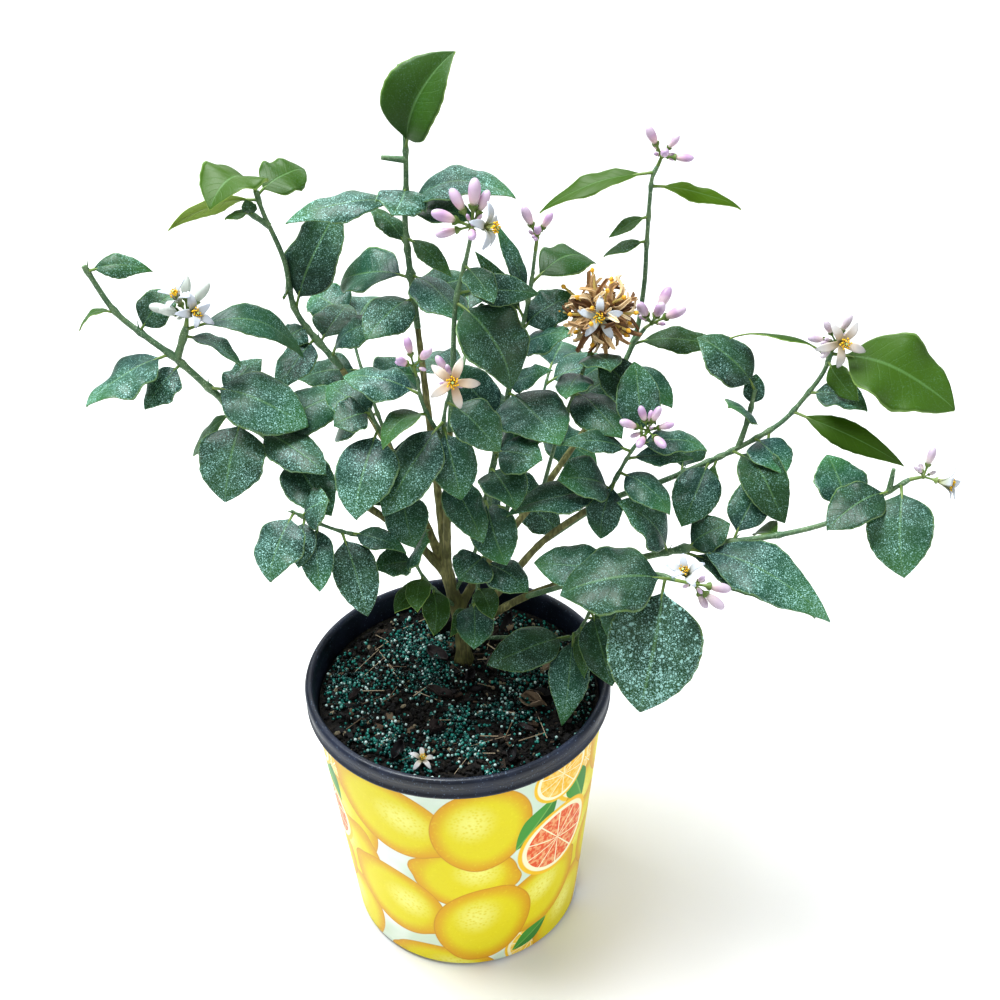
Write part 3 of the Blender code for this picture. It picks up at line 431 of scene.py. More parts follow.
glow = shader_node(
    printed_lemon, "ShaderNodeVectorMath",
    {0: spot["Place"], 1: (0.18, 0.22, 0.0)}, operation="DISTANCE",
).outputs["Value"]
skin = blend_colours(
    printed_lemon, spread(printed_lemon, reach, 0.62, 1.02), (0.76, 0.66, 0.0003), (0.70, 0.34, 0.0003)
)
skin = blend_colours(
    printed_lemon, spread(printed_lemon, pits, 0.05, 0.34, 0.16, 0.0), skin, (0.60, 0.44, 0.0003),
)
shine = maths(
    printed_lemon, "MULTIPLY",
    spread(printed_lemon, glow, 0.05, 0.58, 0.70, 0.0),
    spread(printed_lemon, pits, 0.10, 0.60, 0.3, 1.0),
)
skin = blend_colours(printed_lemon, shine, skin, (0.92, 0.92, 0.30))
skin = blend_colours(
    printed_lemon, spread(printed_lemon, grain, 0.58, 0.75, 0.0, 0.22), skin, (0.88, 0.80, 0.03),
)
skin = blend_colours(
    printed_lemon, spread(printed_lemon, reach, 0.965, 0.997, 0.0, 0.6), skin, (0.50, 0.22, 0.002),
)
printed_lemon.links.new(
    blend_colours(printed_lemon, spread(printed_lemon, reach, 0.99, 1.01), skin, given["Under"]),
    made["Colour"],
)

printed_slice, given, made = new_group(
    "printed_slice",
    {"Under": "colour", "Flesh": "colour", "Around": "float", "Up": "float",
     "Centre around": "float", "Centre up": "float", "Radius": "float"},
    {"Colour": "colour"},
)
names = ("Around", "Up", "Centre around", "Centre up")
wires = {name: given[name] for name in names}
wires.update({"Tilt": 0.3, "Half length": given["Radius"], "Half width": given["Radius"]})
spot = use_group(printed_slice, printed_place, wires)
axes = shader_node(printed_slice, "ShaderNodeSeparateXYZ", {"Vector": spot["Place"]})
turn_round = maths(printed_slice, "ARCTAN2", axes.outputs["Y"], axes.outputs["X"])
wedge = maths(
    printed_slice, "ABSOLUTE",
    maths(printed_slice, "SINE", maths(printed_slice, "MULTIPLY", turn_round, 5.0)),
)
membrane = maths(printed_slice, "DIVIDE", 0.09, maths(printed_slice, "ADD", spot["Reach"], 0.08))
pulp = maths(printed_slice, "GREATER_THAN", wedge, membrane)
streaks = cloudy(printed_slice, 300.0, 2.0)
flesh = blend_colours(
    printed_slice, spread(printed_slice, streaks, 0.4, 0.65, 0.0, 0.45), given["Flesh"],
    (1.0, 0.90, 0.45),
)
inside = maths(printed_slice, "MULTIPLY", pulp, maths(printed_slice, "LESS_THAN", spot["Reach"], 0.80))
cut = blend_colours(printed_slice, inside, (0.95, 0.90, 0.62), flesh)
cut = blend_colours(
    printed_slice, spread(printed_slice, spot["Reach"], 0.89, 0.92), cut, (0.90, 0.55, 0.01),
)
printed_slice.links.new(
    blend_colours(printed_slice, spread(printed_slice, spot["Reach"], 0.99, 1.02), cut, given["Under"]),
    made["Colour"],
)

printed_leaf, given, made = new_group(
    "printed_leaf",
    {"Under": "colour", "Around": "float", "Up": "float", "Centre around": "float",
     "Centre up": "float", "Tilt": "float", "Half length": "float", "Half width": "float"},
    {"Colour": "colour"},
)
names = ("Around", "Up", "Centre around", "Centre up", "Tilt", "Half length", "Half width")
spot = use_group(printed_leaf, printed_place, {name: given[name] for name in names})
axes = shader_node(printed_leaf, "ShaderNodeSeparateXYZ", {"Vector": spot["Place"]})
along = maths(printed_leaf, "POWER", maths(printed_leaf, "ABSOLUTE", axes.outputs["X"]), 1.6)
across = maths(printed_leaf, "ABSOLUTE", axes.outputs["Y"])
reach = maths(printed_leaf, "ADD", along, across)
blade = blend_colours(
    printed_leaf, spread(printed_leaf, across, 0.0, 0.10, 0.7, 0.0), (0.03, 0.24, 0.03),
    (0.32, 0.58, 0.14),
)
blade = blend_colours(
    printed_leaf, spread(printed_leaf, axes.outputs["Y"], -0.1, 0.1, 0.0, 0.35), blade,
    (0.10, 0.46, 0.05),
)
printed_leaf.links.new(
    blend_colours(printed_leaf, spread(printed_leaf, reach, 0.97, 1.01), blade, given["Under"]),
    made["Colour"],
)

sleeve_print, tree, shader = new_finish("sleeve_print", Roughness=0.42, Specular_IOR_Level=0.35)
place = shader_node(tree, "ShaderNodeTexCoord").outputs["Object"]
axes = shader_node(tree, "ShaderNodeSeparateXYZ", {"Vector": place}).outputs
back = maths(tree, "MULTIPLY", axes["Y"], -1.0)
around = maths(tree, "MULTIPLY", maths(tree, "ARCTAN2", axes["X"], back), PRINT_REPEATS / math.tau)
paper = blend_colours(
    tree, spread(tree, cloudy(tree, 22.0, 2.0), 0.40, 0.65), (0.64, 0.76, 0.62), (0.84, 0.90, 0.84)
)
where = {"Around": around, "Up": axes["Z"]}
for angle, up, radius, flesh in PRINTED_SLICES:
    paper = use_group(
        tree, printed_slice,
        {**where, "Under": paper, "Flesh": flesh, "Centre around": angle / REPEAT_DEGREES,
         "Centre up": up, "Radius": radius},
    )["Colour"]
for angle, up, half_length, half_width, tilt, nipple in PRINTED_LEMONS:
    paper = use_group(
        tree, printed_lemon,
        {**where, "Under": paper, "Centre around": angle / REPEAT_DEGREES, "Centre up": up, "Nipple": nipple,
         "Tilt": math.radians(tilt), "Half length": half_length, "Half width": half_width},
    )["Colour"]
for angle, up, half_length, half_width, tilt in PRINTED_LEAVES:
    paper = use_group(
        tree, printed_leaf,
        {**where, "Under": paper, "Centre around": angle / REPEAT_DEGREES, "Centre up": up,
         "Tilt": math.radians(tilt), "Half length": half_length, "Half width": half_width},
    )["Colour"]
for angle, up, radius, flesh in FRONT_SLICES:
    paper = use_group(
        tree, printed_slice,
        {**where, "Under": paper, "Flesh": flesh, "Centre around": angle / REPEAT_DEGREES,
         "Centre up": up, "Radius": radius},
    )["Colour"]
edge = spread(tree, axes["Z"], SLEEVE_HIGH.z - 0.0022, SLEEVE_HIGH.z - 0.0018)
plug(tree, shader.inputs["Base Color"], blend_colours(tree, edge, paper, (0.78, 0.74, 0.56)))
relief(tree, shader, cloudy(tree, 55.0, 1.0), 0.0009, 0.35)

SLEEVE_RINGS = (
    (SLEEVE_FOOT_RADIUS, SLEEVE_LOW.z),
    (SLEEVE_TOP_RADIUS, SLEEVE_HIGH.z),
    (SLEEVE_TOP_RADIUS + SLEEVE_FILM, SLEEVE_HIGH.z),
    (SLEEVE_FOOT_RADIUS + SLEEVE_FILM, SLEEVE_LOW.z),
)
sleeve = turned_piece("printed_sleeve_film", SLEEVE_RINGS, POT_SIDES, fill="NOTHING")
bpy.ops.mesh.select_all(action="DESELECT")
bpy.ops.mesh.select_non_manifold()
bpy.ops.mesh.bridge_edge_loops()
bpy.ops.mesh.select_all(action="SELECT")
bpy.ops.mesh.normals_make_consistent(inside=False)
bpy.ops.object.mode_set(mode="OBJECT")
# The whole film is extruded, so its first skin stays inside the swollen one
bpy.ops.object.mode_set(mode="EDIT")
bpy.ops.mesh.select_mode(type="FACE")
bpy.ops.mesh.extrude_region_shrink_fatten(TRANSFORM_OT_shrink_fatten={"value": FILM_SWELL})
bpy.ops.object.mode_set(mode="OBJECT")
sleeve.data.materials.append(sleeve_print)
smooth_faces(sleeve, 30.0)
hand_over(sleeve, "sleeve_print", "printed_sleeve")

# ---------------------------------------------------------------------------------------------
# Potting mix. Dark lumpy bark compost fills the pot to under its lip. Blue-green coated
# fertiliser prills lie on it in clumps, with bark chips, straw and dead citrus leaves.

MIX_LOW, MIX_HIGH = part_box("potting_mix")
MIX_TOP = POT_HEIGHT - 0.017
MIX_CROWN = 0.004
MIX_RADIUS = SHOULDER_RADIUS - 0.0028
MIX_RINGS = 62
CRUMBS = 3600
PRILLS = 4200
PRILL_CLUMPS = 60
BARK_CHIPS = 170
STRAWS = 60
DEAD_LEAVES = 22
STEM_PLACE = (0.003, 0.027)
STEM_CLEARANCE = 0.009


def mix_height(x, y):
    """The height of the mix at a spot: a low crown round the stem that dips to the wall."""
    share = min(1.0, math.hypot(x, y) / MIX_RADIUS)
    return MIX_TOP - 0.001 + (MIX_CROWN + 0.001) * (1.0 - share ** 2)


def shaded_colours(tree, value, *colours):
    """A ramp of evenly spaced colours that a value from 0 to 1 picks from."""
    ramp = tree.nodes.new("ShaderNodeValToRGB")
    plug(tree, ramp.inputs["Fac"], value)
    steps = ramp.color_ramp.elements
    while len(steps) < len(colours):
        steps.new(1.0)
    for i, colour in enumerate(colours):
        steps[i].position = i / (len(colours) - 1)
        steps[i].color = (*colour, 1.0)
    return ramp.outputs["Color"]


def own_value(tree, name):
    """A value that every point of the mesh carries under this name."""
    return shader_node(tree, "ShaderNodeAttribute", attribute_name=name).outputs["Fac"]


mix_earth, tree, shader = new_finish("mix_earth", Roughness=0.92)
lumps = cloudy(tree, 210.0, 6.0)
plug(
    tree, shader.inputs["Base Color"],
    shaded_colours(
        tree, spread(tree, lumps, 0.3, 0.75), (0.003, 0.003, 0.003), (0.010, 0.008, 0.006),
        (0.045, 0.036, 0.026),
    ),
)
relief(tree, shader, cloudy(tree, 650.0, 6.0), 0.0016)

crumb_earth, tree, shader = new_finish("crumb_earth", Roughness=0.9)
plug(
    tree, shader.inputs["Base Color"],
    shaded_colours(
        tree, own_value(tree, "shade"), (0.002, 0.002, 0.003), (0.006, 0.005, 0.005),
        (0.016, 0.012, 0.009), (0.26, 0.22, 0.15),
    ),
)
relief(tree, shader, cloudy(tree, 1400.0, 3.0), 0.0006)

# Prill colours run from dark to pale teal; the near-white end is partly real pale prills and partly painted
# glints.
prill_coat, tree, shader = new_finish("prill_coat", Roughness=0.26)
plug(
    tree, shader.inputs["Base Color"],
    shaded_colours(
        tree, own_value(tree, "shade"), (0.001, 0.020, 0.020), (0.002, 0.055, 0.050),
        (0.006, 0.130, 0.110), (0.035, 0.30, 0.25), (0.70, 0.84, 0.82),
    ),
)

chip_bark, tree, shader = new_finish("chip_bark", Roughness=0.85)
grain = cloudy(tree, 260.0, 4.0)
chip_colour = shaded_colours(
    tree, own_value(tree, "shade"), (0.005, 0.004, 0.005), (0.018, 0.011, 0.008),
    (0.050, 0.030, 0.018), (0.15, 0.105, 0.065),
)
plug(
    tree, shader.inputs["Base Color"],
    blend_colours(
        tree, spread(tree, grain, 0.45, 0.7, 0.0, 0.6), chip_colour, (0.008, 0.007, 0.007),
    ),
)
relief(tree, shader, grain, 0.0008)

straw_skin, tree, shader = new_finish("straw_skin", Roughness=0.7)
plug(
    tree, shader.inputs["Base Color"],
    shaded_colours(
        tree, own_value(tree, "shade"), (0.05, 0.03, 0.018), (0.20, 0.14, 0.085),
        (0.55, 0.46, 0.33),
    ),
)

dead_leaf_skin, tree, shader = new_finish("dead_leaf_skin", Roughness=0.6)
plug(
    tree, shader.inputs["Base Color"],
    shaded_colours(
        tree, own_value(tree, "shade"), (0.005, 0.004, 0.006), (0.014, 0.009, 0.013),
        (0.060, 0.040, 0.032), (0.42, 0.32, 0.22),
    ),
)
relief(tree, shader, cloudy(tree, 420.0, 3.0), 0.0005)

rings = [(0.066, MIX_LOW.z), (0.0766, MIX_LOW.z), (MIX_RADIUS, MIX_TOP - 0.001)]
for i in range(1, MIX_RINGS):
    radius = MIX_RADIUS * (1.0 - i / MIX_RINGS)
    rings.append((radius, mix_height(radius, 0.0)))
mix = turned_piece("compost", rings, 200)
bpy.ops.mesh.edge_face_add()
bpy.ops.mesh.select_all(action="SELECT")
bpy.ops.mesh.normals_make_consistent(inside=False)
bpy.ops.object.mode_set(mode="OBJECT")
upper = mix.vertex_groups.new(name="upper")
for vertex in mix.data.vertices:
    inward = 1.0 - math.hypot(vertex.co.x, vertex.co.y) / MIX_RADIUS
    if vertex.co.z > MIX_TOP - 0.002:
        upper.add([vertex.index], min(1.0, 0.15 + inward * 12.0), "REPLACE")
for size, depth in ((0.022, 0.0040), (0.0065, 0.0034), (0.0026, 0.0020)):
    lumps = bpy.data.textures.new("lumps", "CLOUDS")
    lumps.noise_scale = size
    lumps.noise_depth = 1
    apply_modifier(
        mix, "DISPLACE", texture=lumps, strength=depth, mid_level=0.62, direction="Z",
        vertex_group="upper",
    )
mix.data.materials.append(mix_earth)
smooth_faces(mix, 60.0)
hand_over(mix, "potting_mix", "potting_mix")


def scattered(name, pattern, places, shades, finish):
    """One piece made of copies of a pattern, each at its place and with its own shade."""
    points = np.array([vertex.co for vertex in pattern.data.vertices])
    faces = [tuple(face.vertices) for face in pattern.data.polygons]
    spots = []
    sides = []
    for i, place in enumerate(places):
        turn = np.array(place)
        spots.append(points @ turn[:3, :3].T + turn[:3, 3])
        sides += [tuple(corner + i * len(points) for corner in face) for face in faces]
    mesh = bpy.data.meshes.new(name)
    mesh.from_pydata(np.concatenate(spots).tolist(), [], sides)
    mesh.attributes.new("shade", "FLOAT", "POINT")
    mesh.attributes["shade"].data.foreach_set(
        "value", np.repeat(shades, len(points)).astype(np.float32),
    )
    mesh.materials.append(finish)
    piece = bpy.data.objects.new(name, mesh)
    bpy.context.scene.collection.objects.link(piece)
    bpy.data.objects.remove(pattern)
    return piece


def spot_on_mix(dice, reach=1.0):
    """A random spot on the mix, clear of the stem."""
    while True:
        angle = dice.uniform(0, math.tau)
        radius = (MIX_RADIUS - 0.003) * math.sqrt(dice.random()) * reach
        x = radius * math.cos(angle)
        y = radius * math.sin(angle)
        if math.hypot(x - STEM_PLACE[0], y - STEM_PLACE[1]) > STEM_CLEARANCE:
            return x, y


def random_turn(dice, tumble=math.pi):
    """A random turn about the upright, and a random tumble of up to an angle."""
    spin = Matrix.Rotation(dice.uniform(0, math.tau), 4, "Z")
    way = Vector((dice.uniform(-1, 1), dice.uniform(-1, 1), 0.01)).normalized()
    return Matrix.Rotation(dice.uniform(-tumble, tumble), 4, way) @ spin


dice = random.Random(11)
bpy.ops.mesh.primitive_ico_sphere_add(subdivisions=1, radius=1.0)
places = []
for _ in range(CRUMBS):
    x, y = spot_on_mix(dice)
    size = dice.uniform(0.0006, 0.0021)
    shape = Matrix.Diagonal((size * dice.uniform(0.7, 1.6), size, size * dice.uniform(0.5, 1.0), 1.0))
    places.append(
        Matrix.Translation(
            (x, y, mix_height(x, y) + dice.uniform(-0.0004, 0.0010))
        ) @ random_turn(dice) @ shape
    )
shades = [min(0.66, dice.random() ** 1.6) if dice.random() < 0.96 else 1.0 for _ in places]
crumbs = scattered("compost_crumbs", bpy.context.object, places, shades, crumb_earth)
hand_over(crumbs, "potting_mix")

bpy.ops.mesh.primitive_uv_sphere_add(segments=6, ring_count=5, radius=1.0)
places = []
clumps = [(*spot_on_mix(dice), dice.uniform(0.004, 0.013)) for _ in range(PRILL_CLUMPS)]
while len(places) < PRILLS:
    x, y, reach = dice.choice(clumps)
    x += dice.gauss(0, reach)
    y += dice.gauss(0, reach)
    by_stem = math.hypot(x - STEM_PLACE[0], y - STEM_PLACE[1]) < STEM_CLEARANCE
    if math.hypot(x, y) > MIX_RADIUS - 0.0025 or by_stem:
        continue
    size = dice.uniform(0.0008, 0.00125)
    shape = Matrix.Diagonal((size, size, size, 1.0))
    places.append(Matrix.Translation((x, y, mix_height(x, y) + dice.uniform(0.0003, 0.0026))) @ shape)
shades = [dice.random() ** 1.5 for _ in places]
prills = scattered("fertiliser_prills", bpy.context.object, places, shades, prill_coat)
smooth_faces(prills, 80.0)
hand_over(prills, "potting_mix")

bpy.ops.mesh.primitive_cube_add(size=1.0)
bpy.ops.object.mode_set(mode="EDIT")
bpy.ops.mesh.subdivide(number_cuts=1)
bpy.ops.transform.vertex_random(offset=0.16, seed=4)
bpy.ops.object.mode_set(mode="OBJECT")
places = []
for _ in range(BARK_CHIPS):
    x, y = spot_on_mix(dice, 0.96)
    long = dice.uniform(0.003, 0.0085)
    shape = Matrix.Diagonal((long, long * dice.uniform(0.25, 0.6), long * dice.uniform(0.08, 0.2), 1.0))
    places.append(
        Matrix.Translation((x, y, mix_height(x, y) + 0.0012)) @ random_turn(dice, 0.5) @ shape
    )
shades = [dice.random() ** 2.4 for _ in places]
chips = scattered("bark_chips", bpy.context.object, places, shades, chip_bark)
hand_over(chips, "potting_mix")

bpy.ops.mesh.primitive_cylinder_add(vertices=6, radius=0.5, depth=1.0, rotation=(0, math.pi / 2, 0))
bpy.ops.object.transform_apply()
places = []
for _ in range(STRAWS):
    x, y = spot_on_mix(dice, 0.85)
    long = dice.uniform(0.010, 0.028)
    thick = dice.uniform(0.0004, 0.0009)
    shape = Matrix.Diagonal((long, thick, thick, 1.0))
    places.append(
        Matrix.Translation((x, y, mix_height(x, y) + 0.0019)) @ random_turn(dice, 0.14) @ shape
    )
shades = [dice.random() for _ in places]
straws = scattered("straws", bpy.context.object, places, shades, straw_skin)
smooth_faces(straws, 50.0)
hand_over(straws, "potting_mix")

bpy.ops.mesh.primitive_grid_add(x_subdivisions=8, y_subdivisions=4, size=1.0)
withered = bpy.context.object
for vertex in withered.data.vertices:
    x, y, _ = vertex.co
    narrow = max(0.05, math.cos(math.pi * x)) ** 0.7
    vertex.co = (x, y * narrow, 1.5 * y * y + 0.35 * math.sin(9.0 * x) * x + 0.9 * x * x)
apply_modifier(withered, "SOLIDIFY", thickness=0.03)
places = []
for _ in range(DEAD_LEAVES):
    x, y = spot_on_mix(dice, 0.86)
    long = dice.uniform(0.009, 0.020)
    shape = Matrix.Diagonal((long, long * dice.uniform(0.4, 0.62), long * dice.uniform(0.5, 1.0), 1.0))
    places.append(
        Matrix.Translation((x, y, mix_height(x, y) + 0.0022)) @ random_turn(dice, 0.9) @ shape
    )
shades = [dice.random() ** 2.2 for _ in places]
dead_leaves = scattered("dead_leaves", withered, places, shades, dead_leaf_skin)
smooth_faces(dead_leaves, 60.0)
hand_over(dead_leaves, "potting_mix")

# ---------------------------------------------------------------------------------------------
# Trunk and limbs. One short stem forks low down into seven woody limbs. The bark is thin, pale
# olive and finely ridged, and the forks swell where the limbs grew out of the stem.

MM = 0.001
TRUNK_RADIUS = 0.0055
TRUNK_TOP_RADIUS = 0.0044
TRUNK_FLARE = 0.0024
LIMB_RADIUS = 0.0030
LIMB_TIP_RADIUS = 0.0019
WOOD_STEP = 0.005
BARK_GRAIN = 0.0007
# Points in millimetres, thick end first
TRUNK = ((4, 28, 138), (3, 27, 205), (0, 26, 232), (-5, 26, 262))
LIMBS = {
    "left": ((-4, 26, 258), (-26, 22, 292), (-52, 21, 318), (-89, 25, 346)),
    "back_left": ((-5, 27, 260), (-32, 45, 330), (-65, 70, 388)),
    "upright": ((-5, 27, 261), (-9, 36, 330), (-16, 60, 420)),
    "centre": ((-5, 26, 262), (-2, 20, 320), (2, 14, 375)),
    "right": ((2, 27, 216), (25, 22, 243), (57, 20, 288), (95, 10, 327)),
    "back_right": ((1, 26, 228), (20, 32, 262), (58, 52, 305), (98, 82, 350)),
    "low_right": ((3, 27, 208), (45, 12, 250), (110, -2, 288)),
}

bark, tree, shader = new_finish("bark", Roughness=0.78)
place = shader_node(tree, "ShaderNodeTexCoord").outputs["Object"]
stretched = shader_node(
    tree, "ShaderNodeMapping", {"Vector": place, "Scale": (1.0, 1.0, 0.16)}
).outputs["Vector"]
ridges = cloudy(tree, 620.0, 4.0, stretched)
patches = cloudy(tree, 70.0, 3.0)
wood_colour = blend_colours(
    tree, spread(tree, patches, 0.35, 0.65), (0.150, 0.150, 0.052), (0.330, 0.315, 0.140),
)
plug(
    tree, shader.inputs["Base Color"],
    blend_colours(
        tree, spread(tree, ridges, 0.40, 0.60, 0.55, 0.0), wood_colour, (0.060, 0.058, 0.026),
    ),
)
relief(tree, shader, ridges, 0.0009)


def smooth_route(points, step):
    """Points about one step apart on a smooth curve through the given ones."""
    ends = [points[0] * 2 - points[1], *points, points[-1] * 2 - points[-2]]
    route = []
    for before, start, end, after in zip(ends, ends[1:], ends[2:], ends[3:]):
        count = max(1, round((end - start).length / step))
        for i in range(count):
            t = i / count
            route.append(0.5 * (
                start * 2
                + (end - before) * t
                + (before * 2 - start * 5 + end * 4 - after) * t ** 2
                + (start * 3 - before - end * 3 + after) * t ** 3
            ))
    route.append(points[-1])
    return route


def new_stems(name, sides=2):
    """An empty curve whose strands are round stems with their own radii."""
    curve = bpy.data.curves.new(name, "CURVE")
    curve.dimensions = "3D"
    curve.bevel_depth = 1.0
    curve.bevel_resolution = sides
    curve.use_fill_caps = True
    stems = bpy.data.objects.new(name, curve)
    bpy.context.scene.collection.objects.link(stems)
    return stems


def add_strand(stems, route, radii, finish_index=0):
    strand = stems.data.splines.new("POLY")
    strand.points.add(len(route) - 1)
    for point, place, radius in zip(strand.points, route, radii):
        point.co = (*place, 1.0)
        point.radius = radius
    strand.material_index = finish_index
    strand.use_smooth = True


def as_mesh(piece):
    """Turns a piece into a plain mesh in place."""
    bpy.ops.object.select_all(action="DESELECT")
    piece.select_set(True)
    bpy.context.view_layer.objects.active = piece
    bpy.ops.object.convert(target="MESH")
    return bpy.context.object


def tapered(route, thick, thin):
    return [thick + (thin - thick) * i / (len(route) - 1) for i in range(len(route))]


wood = new_stems("trunk_and_limbs_wood", 4)
route = smooth_route([Vector(point) * MM for point in TRUNK], WOOD_STEP)
radii = tapered(route, TRUNK_RADIUS, TRUNK_TOP_RADIUS)
for i, point in enumerate(route):
    above = max(0.0, point.z - MIX_TOP)
    radii[i] += TRUNK_FLARE * math.exp(-above / 0.007) if point.z > MIX_TOP - 0.012 else 0.0
    radii[i] *= 1.0 + 0.05 * math.sin(i * 1.7)
add_strand(wood, route, radii)
for points in LIMBS.values():
    route = smooth_route([Vector(point) * MM for point in points], WOOD_STEP)
    radii = tapered(route, LIMB_RADIUS, LIMB_TIP_RADIUS)
    for i in range(len(radii)):
        radii[i] += 0.0010 * math.exp(-i / 2.2)
        radii[i] *= 1.0 + 0.06 * math.sin(i * 2.3)
    add_strand(wood, route, radii)
wood = as_mesh(wood)
apply_modifier(wood, "REMESH", mode="VOXEL", voxel_size=BARK_GRAIN)
apply_modifier(wood, "SMOOTH", factor=0.6, iterations=4)
wood.data.materials.clear()
wood.data.materials.append(bark)
smooth_faces(wood, 80.0)
hand_over(wood, "bark", "trunk_and_limbs")

# ---------------------------------------------------------------------------------------------
# Leafy shoots. Ridged green twigs with a short thorn at some nodes carry leathery lemon leaves on
# short stalks. Mature leaves are dark blue-green under a film of dried spray; new ones are lime.

TWIG_RADIUS = 0.0015
TWIG_TIP_RADIUS = 0.0009
TWIG_STEP = 0.026
TWIG_FINE_STEP = 0.004
STALK_RADIUS = 0.0009
LEAF_THICKNESS = 0.00045
LEAF_FOLD = 0.16
LEAF_ROWS = 40
LEAF_COLUMNS = 12
# Leaves face up and a little to the front, where the light came from
LEAF_FACING = (0.0, -0.35, 0.94)
STEEP_LEAF_FACING = (0.0, -1.0, 0.2)
# A leaf's outline: share of its length, share of its half width
BROAD_LEAF = (
    (0.0, 0.015), (0.115, 0.015), (0.14, 0.12), (0.19, 0.44), (0.26, 0.76), (0.34, 0.94),
    (0.44, 1.0), (0.56, 0.99), (0.68, 0.90), (0.79, 0.72), (0.88, 0.48), (0.95, 0.24), (1.0, 0.02),
)
POINTED_LEAF = (
    (0.0, 0.015), (0.10, 0.015), (0.13, 0.10), (0.20, 0.40), (0.30, 0.76), (0.40, 0.96),
    (0.50, 1.0), (0.60, 0.93), (0.72, 0.72), (0.83, 0.46), (0.92, 0.24), (1.0, 0.01),
)
# How new the leaves of a shoot are, from 0 to 1, by their place in its list
NEW_LEAVES = {
    "shoot_far_left": {3: 0.35, 4: 0.8, 5: 0.3, 13: 0.5},
    "shoot_upper_left": {0: 0.95, 1: 0.85, 2: 1.0, 4: 0.7, 5: 0.5, 7: 0.4},
    "shoot_top": {0: 0.85, 5: 0.4, 6: 0.5},
    "shoot_centre_back": {0: 0.75, 2: 0.5},
    "shoot_right_upright": {0: 1.0, 1: 1.0, 2: 0.7, 3: 0.7, 4: 0.6},
    "shoot_far_right": {0: 0.88, 2: 1.0, 5: 0.9, 7: 0.8, 9: 0.6, 10: 0.3},
    "shoot_low_right": {7: 0.8, 3: 0.2},
    "shoot_under_left": {0: 0.8, 1: 0.7, 2: 0.8, 4: 0.3},
    "shoot_under_centre": {2: 0.6, 4: 0.7},
    "shoot_low_front": {2: 0.5, 4: 0.6},
    "shoot_front_blossom": {3: 0.5},
}
# How thick the dried spray lies on some leaves; on the rest it is a little under one
DUSTY_LEAVES = {
    "shoot_front_right": {0: 1.9},
    "shoot_low_right": {0: 1.3, 3: 1.2},
    "shoot_lower_left": {0: 1.4, 1: 1.2, 2: 1.3},
    "shoot_left_of_centre": {0: 1.3, 4: 1.3},
    "shoot_top": {1: 1.3, 2: 1.3, 3: 1.3},
    "shoot_far_left": {1: 1.2, 2: 1.2, 6: 1.3},
}
# Leaves folded more sharply than the rest along their midrib
CREASED_LEAVES = {"shoot_top": {0: 5.0}, "shoot_upper_left": {0: 3.0}, "shoot_low_right": {7: 4.0}}
# Leaves that lie nearly flat
FLAT_LEAVES = {"shoot_far_right": (0,), "shoot_front_right": (0,)}
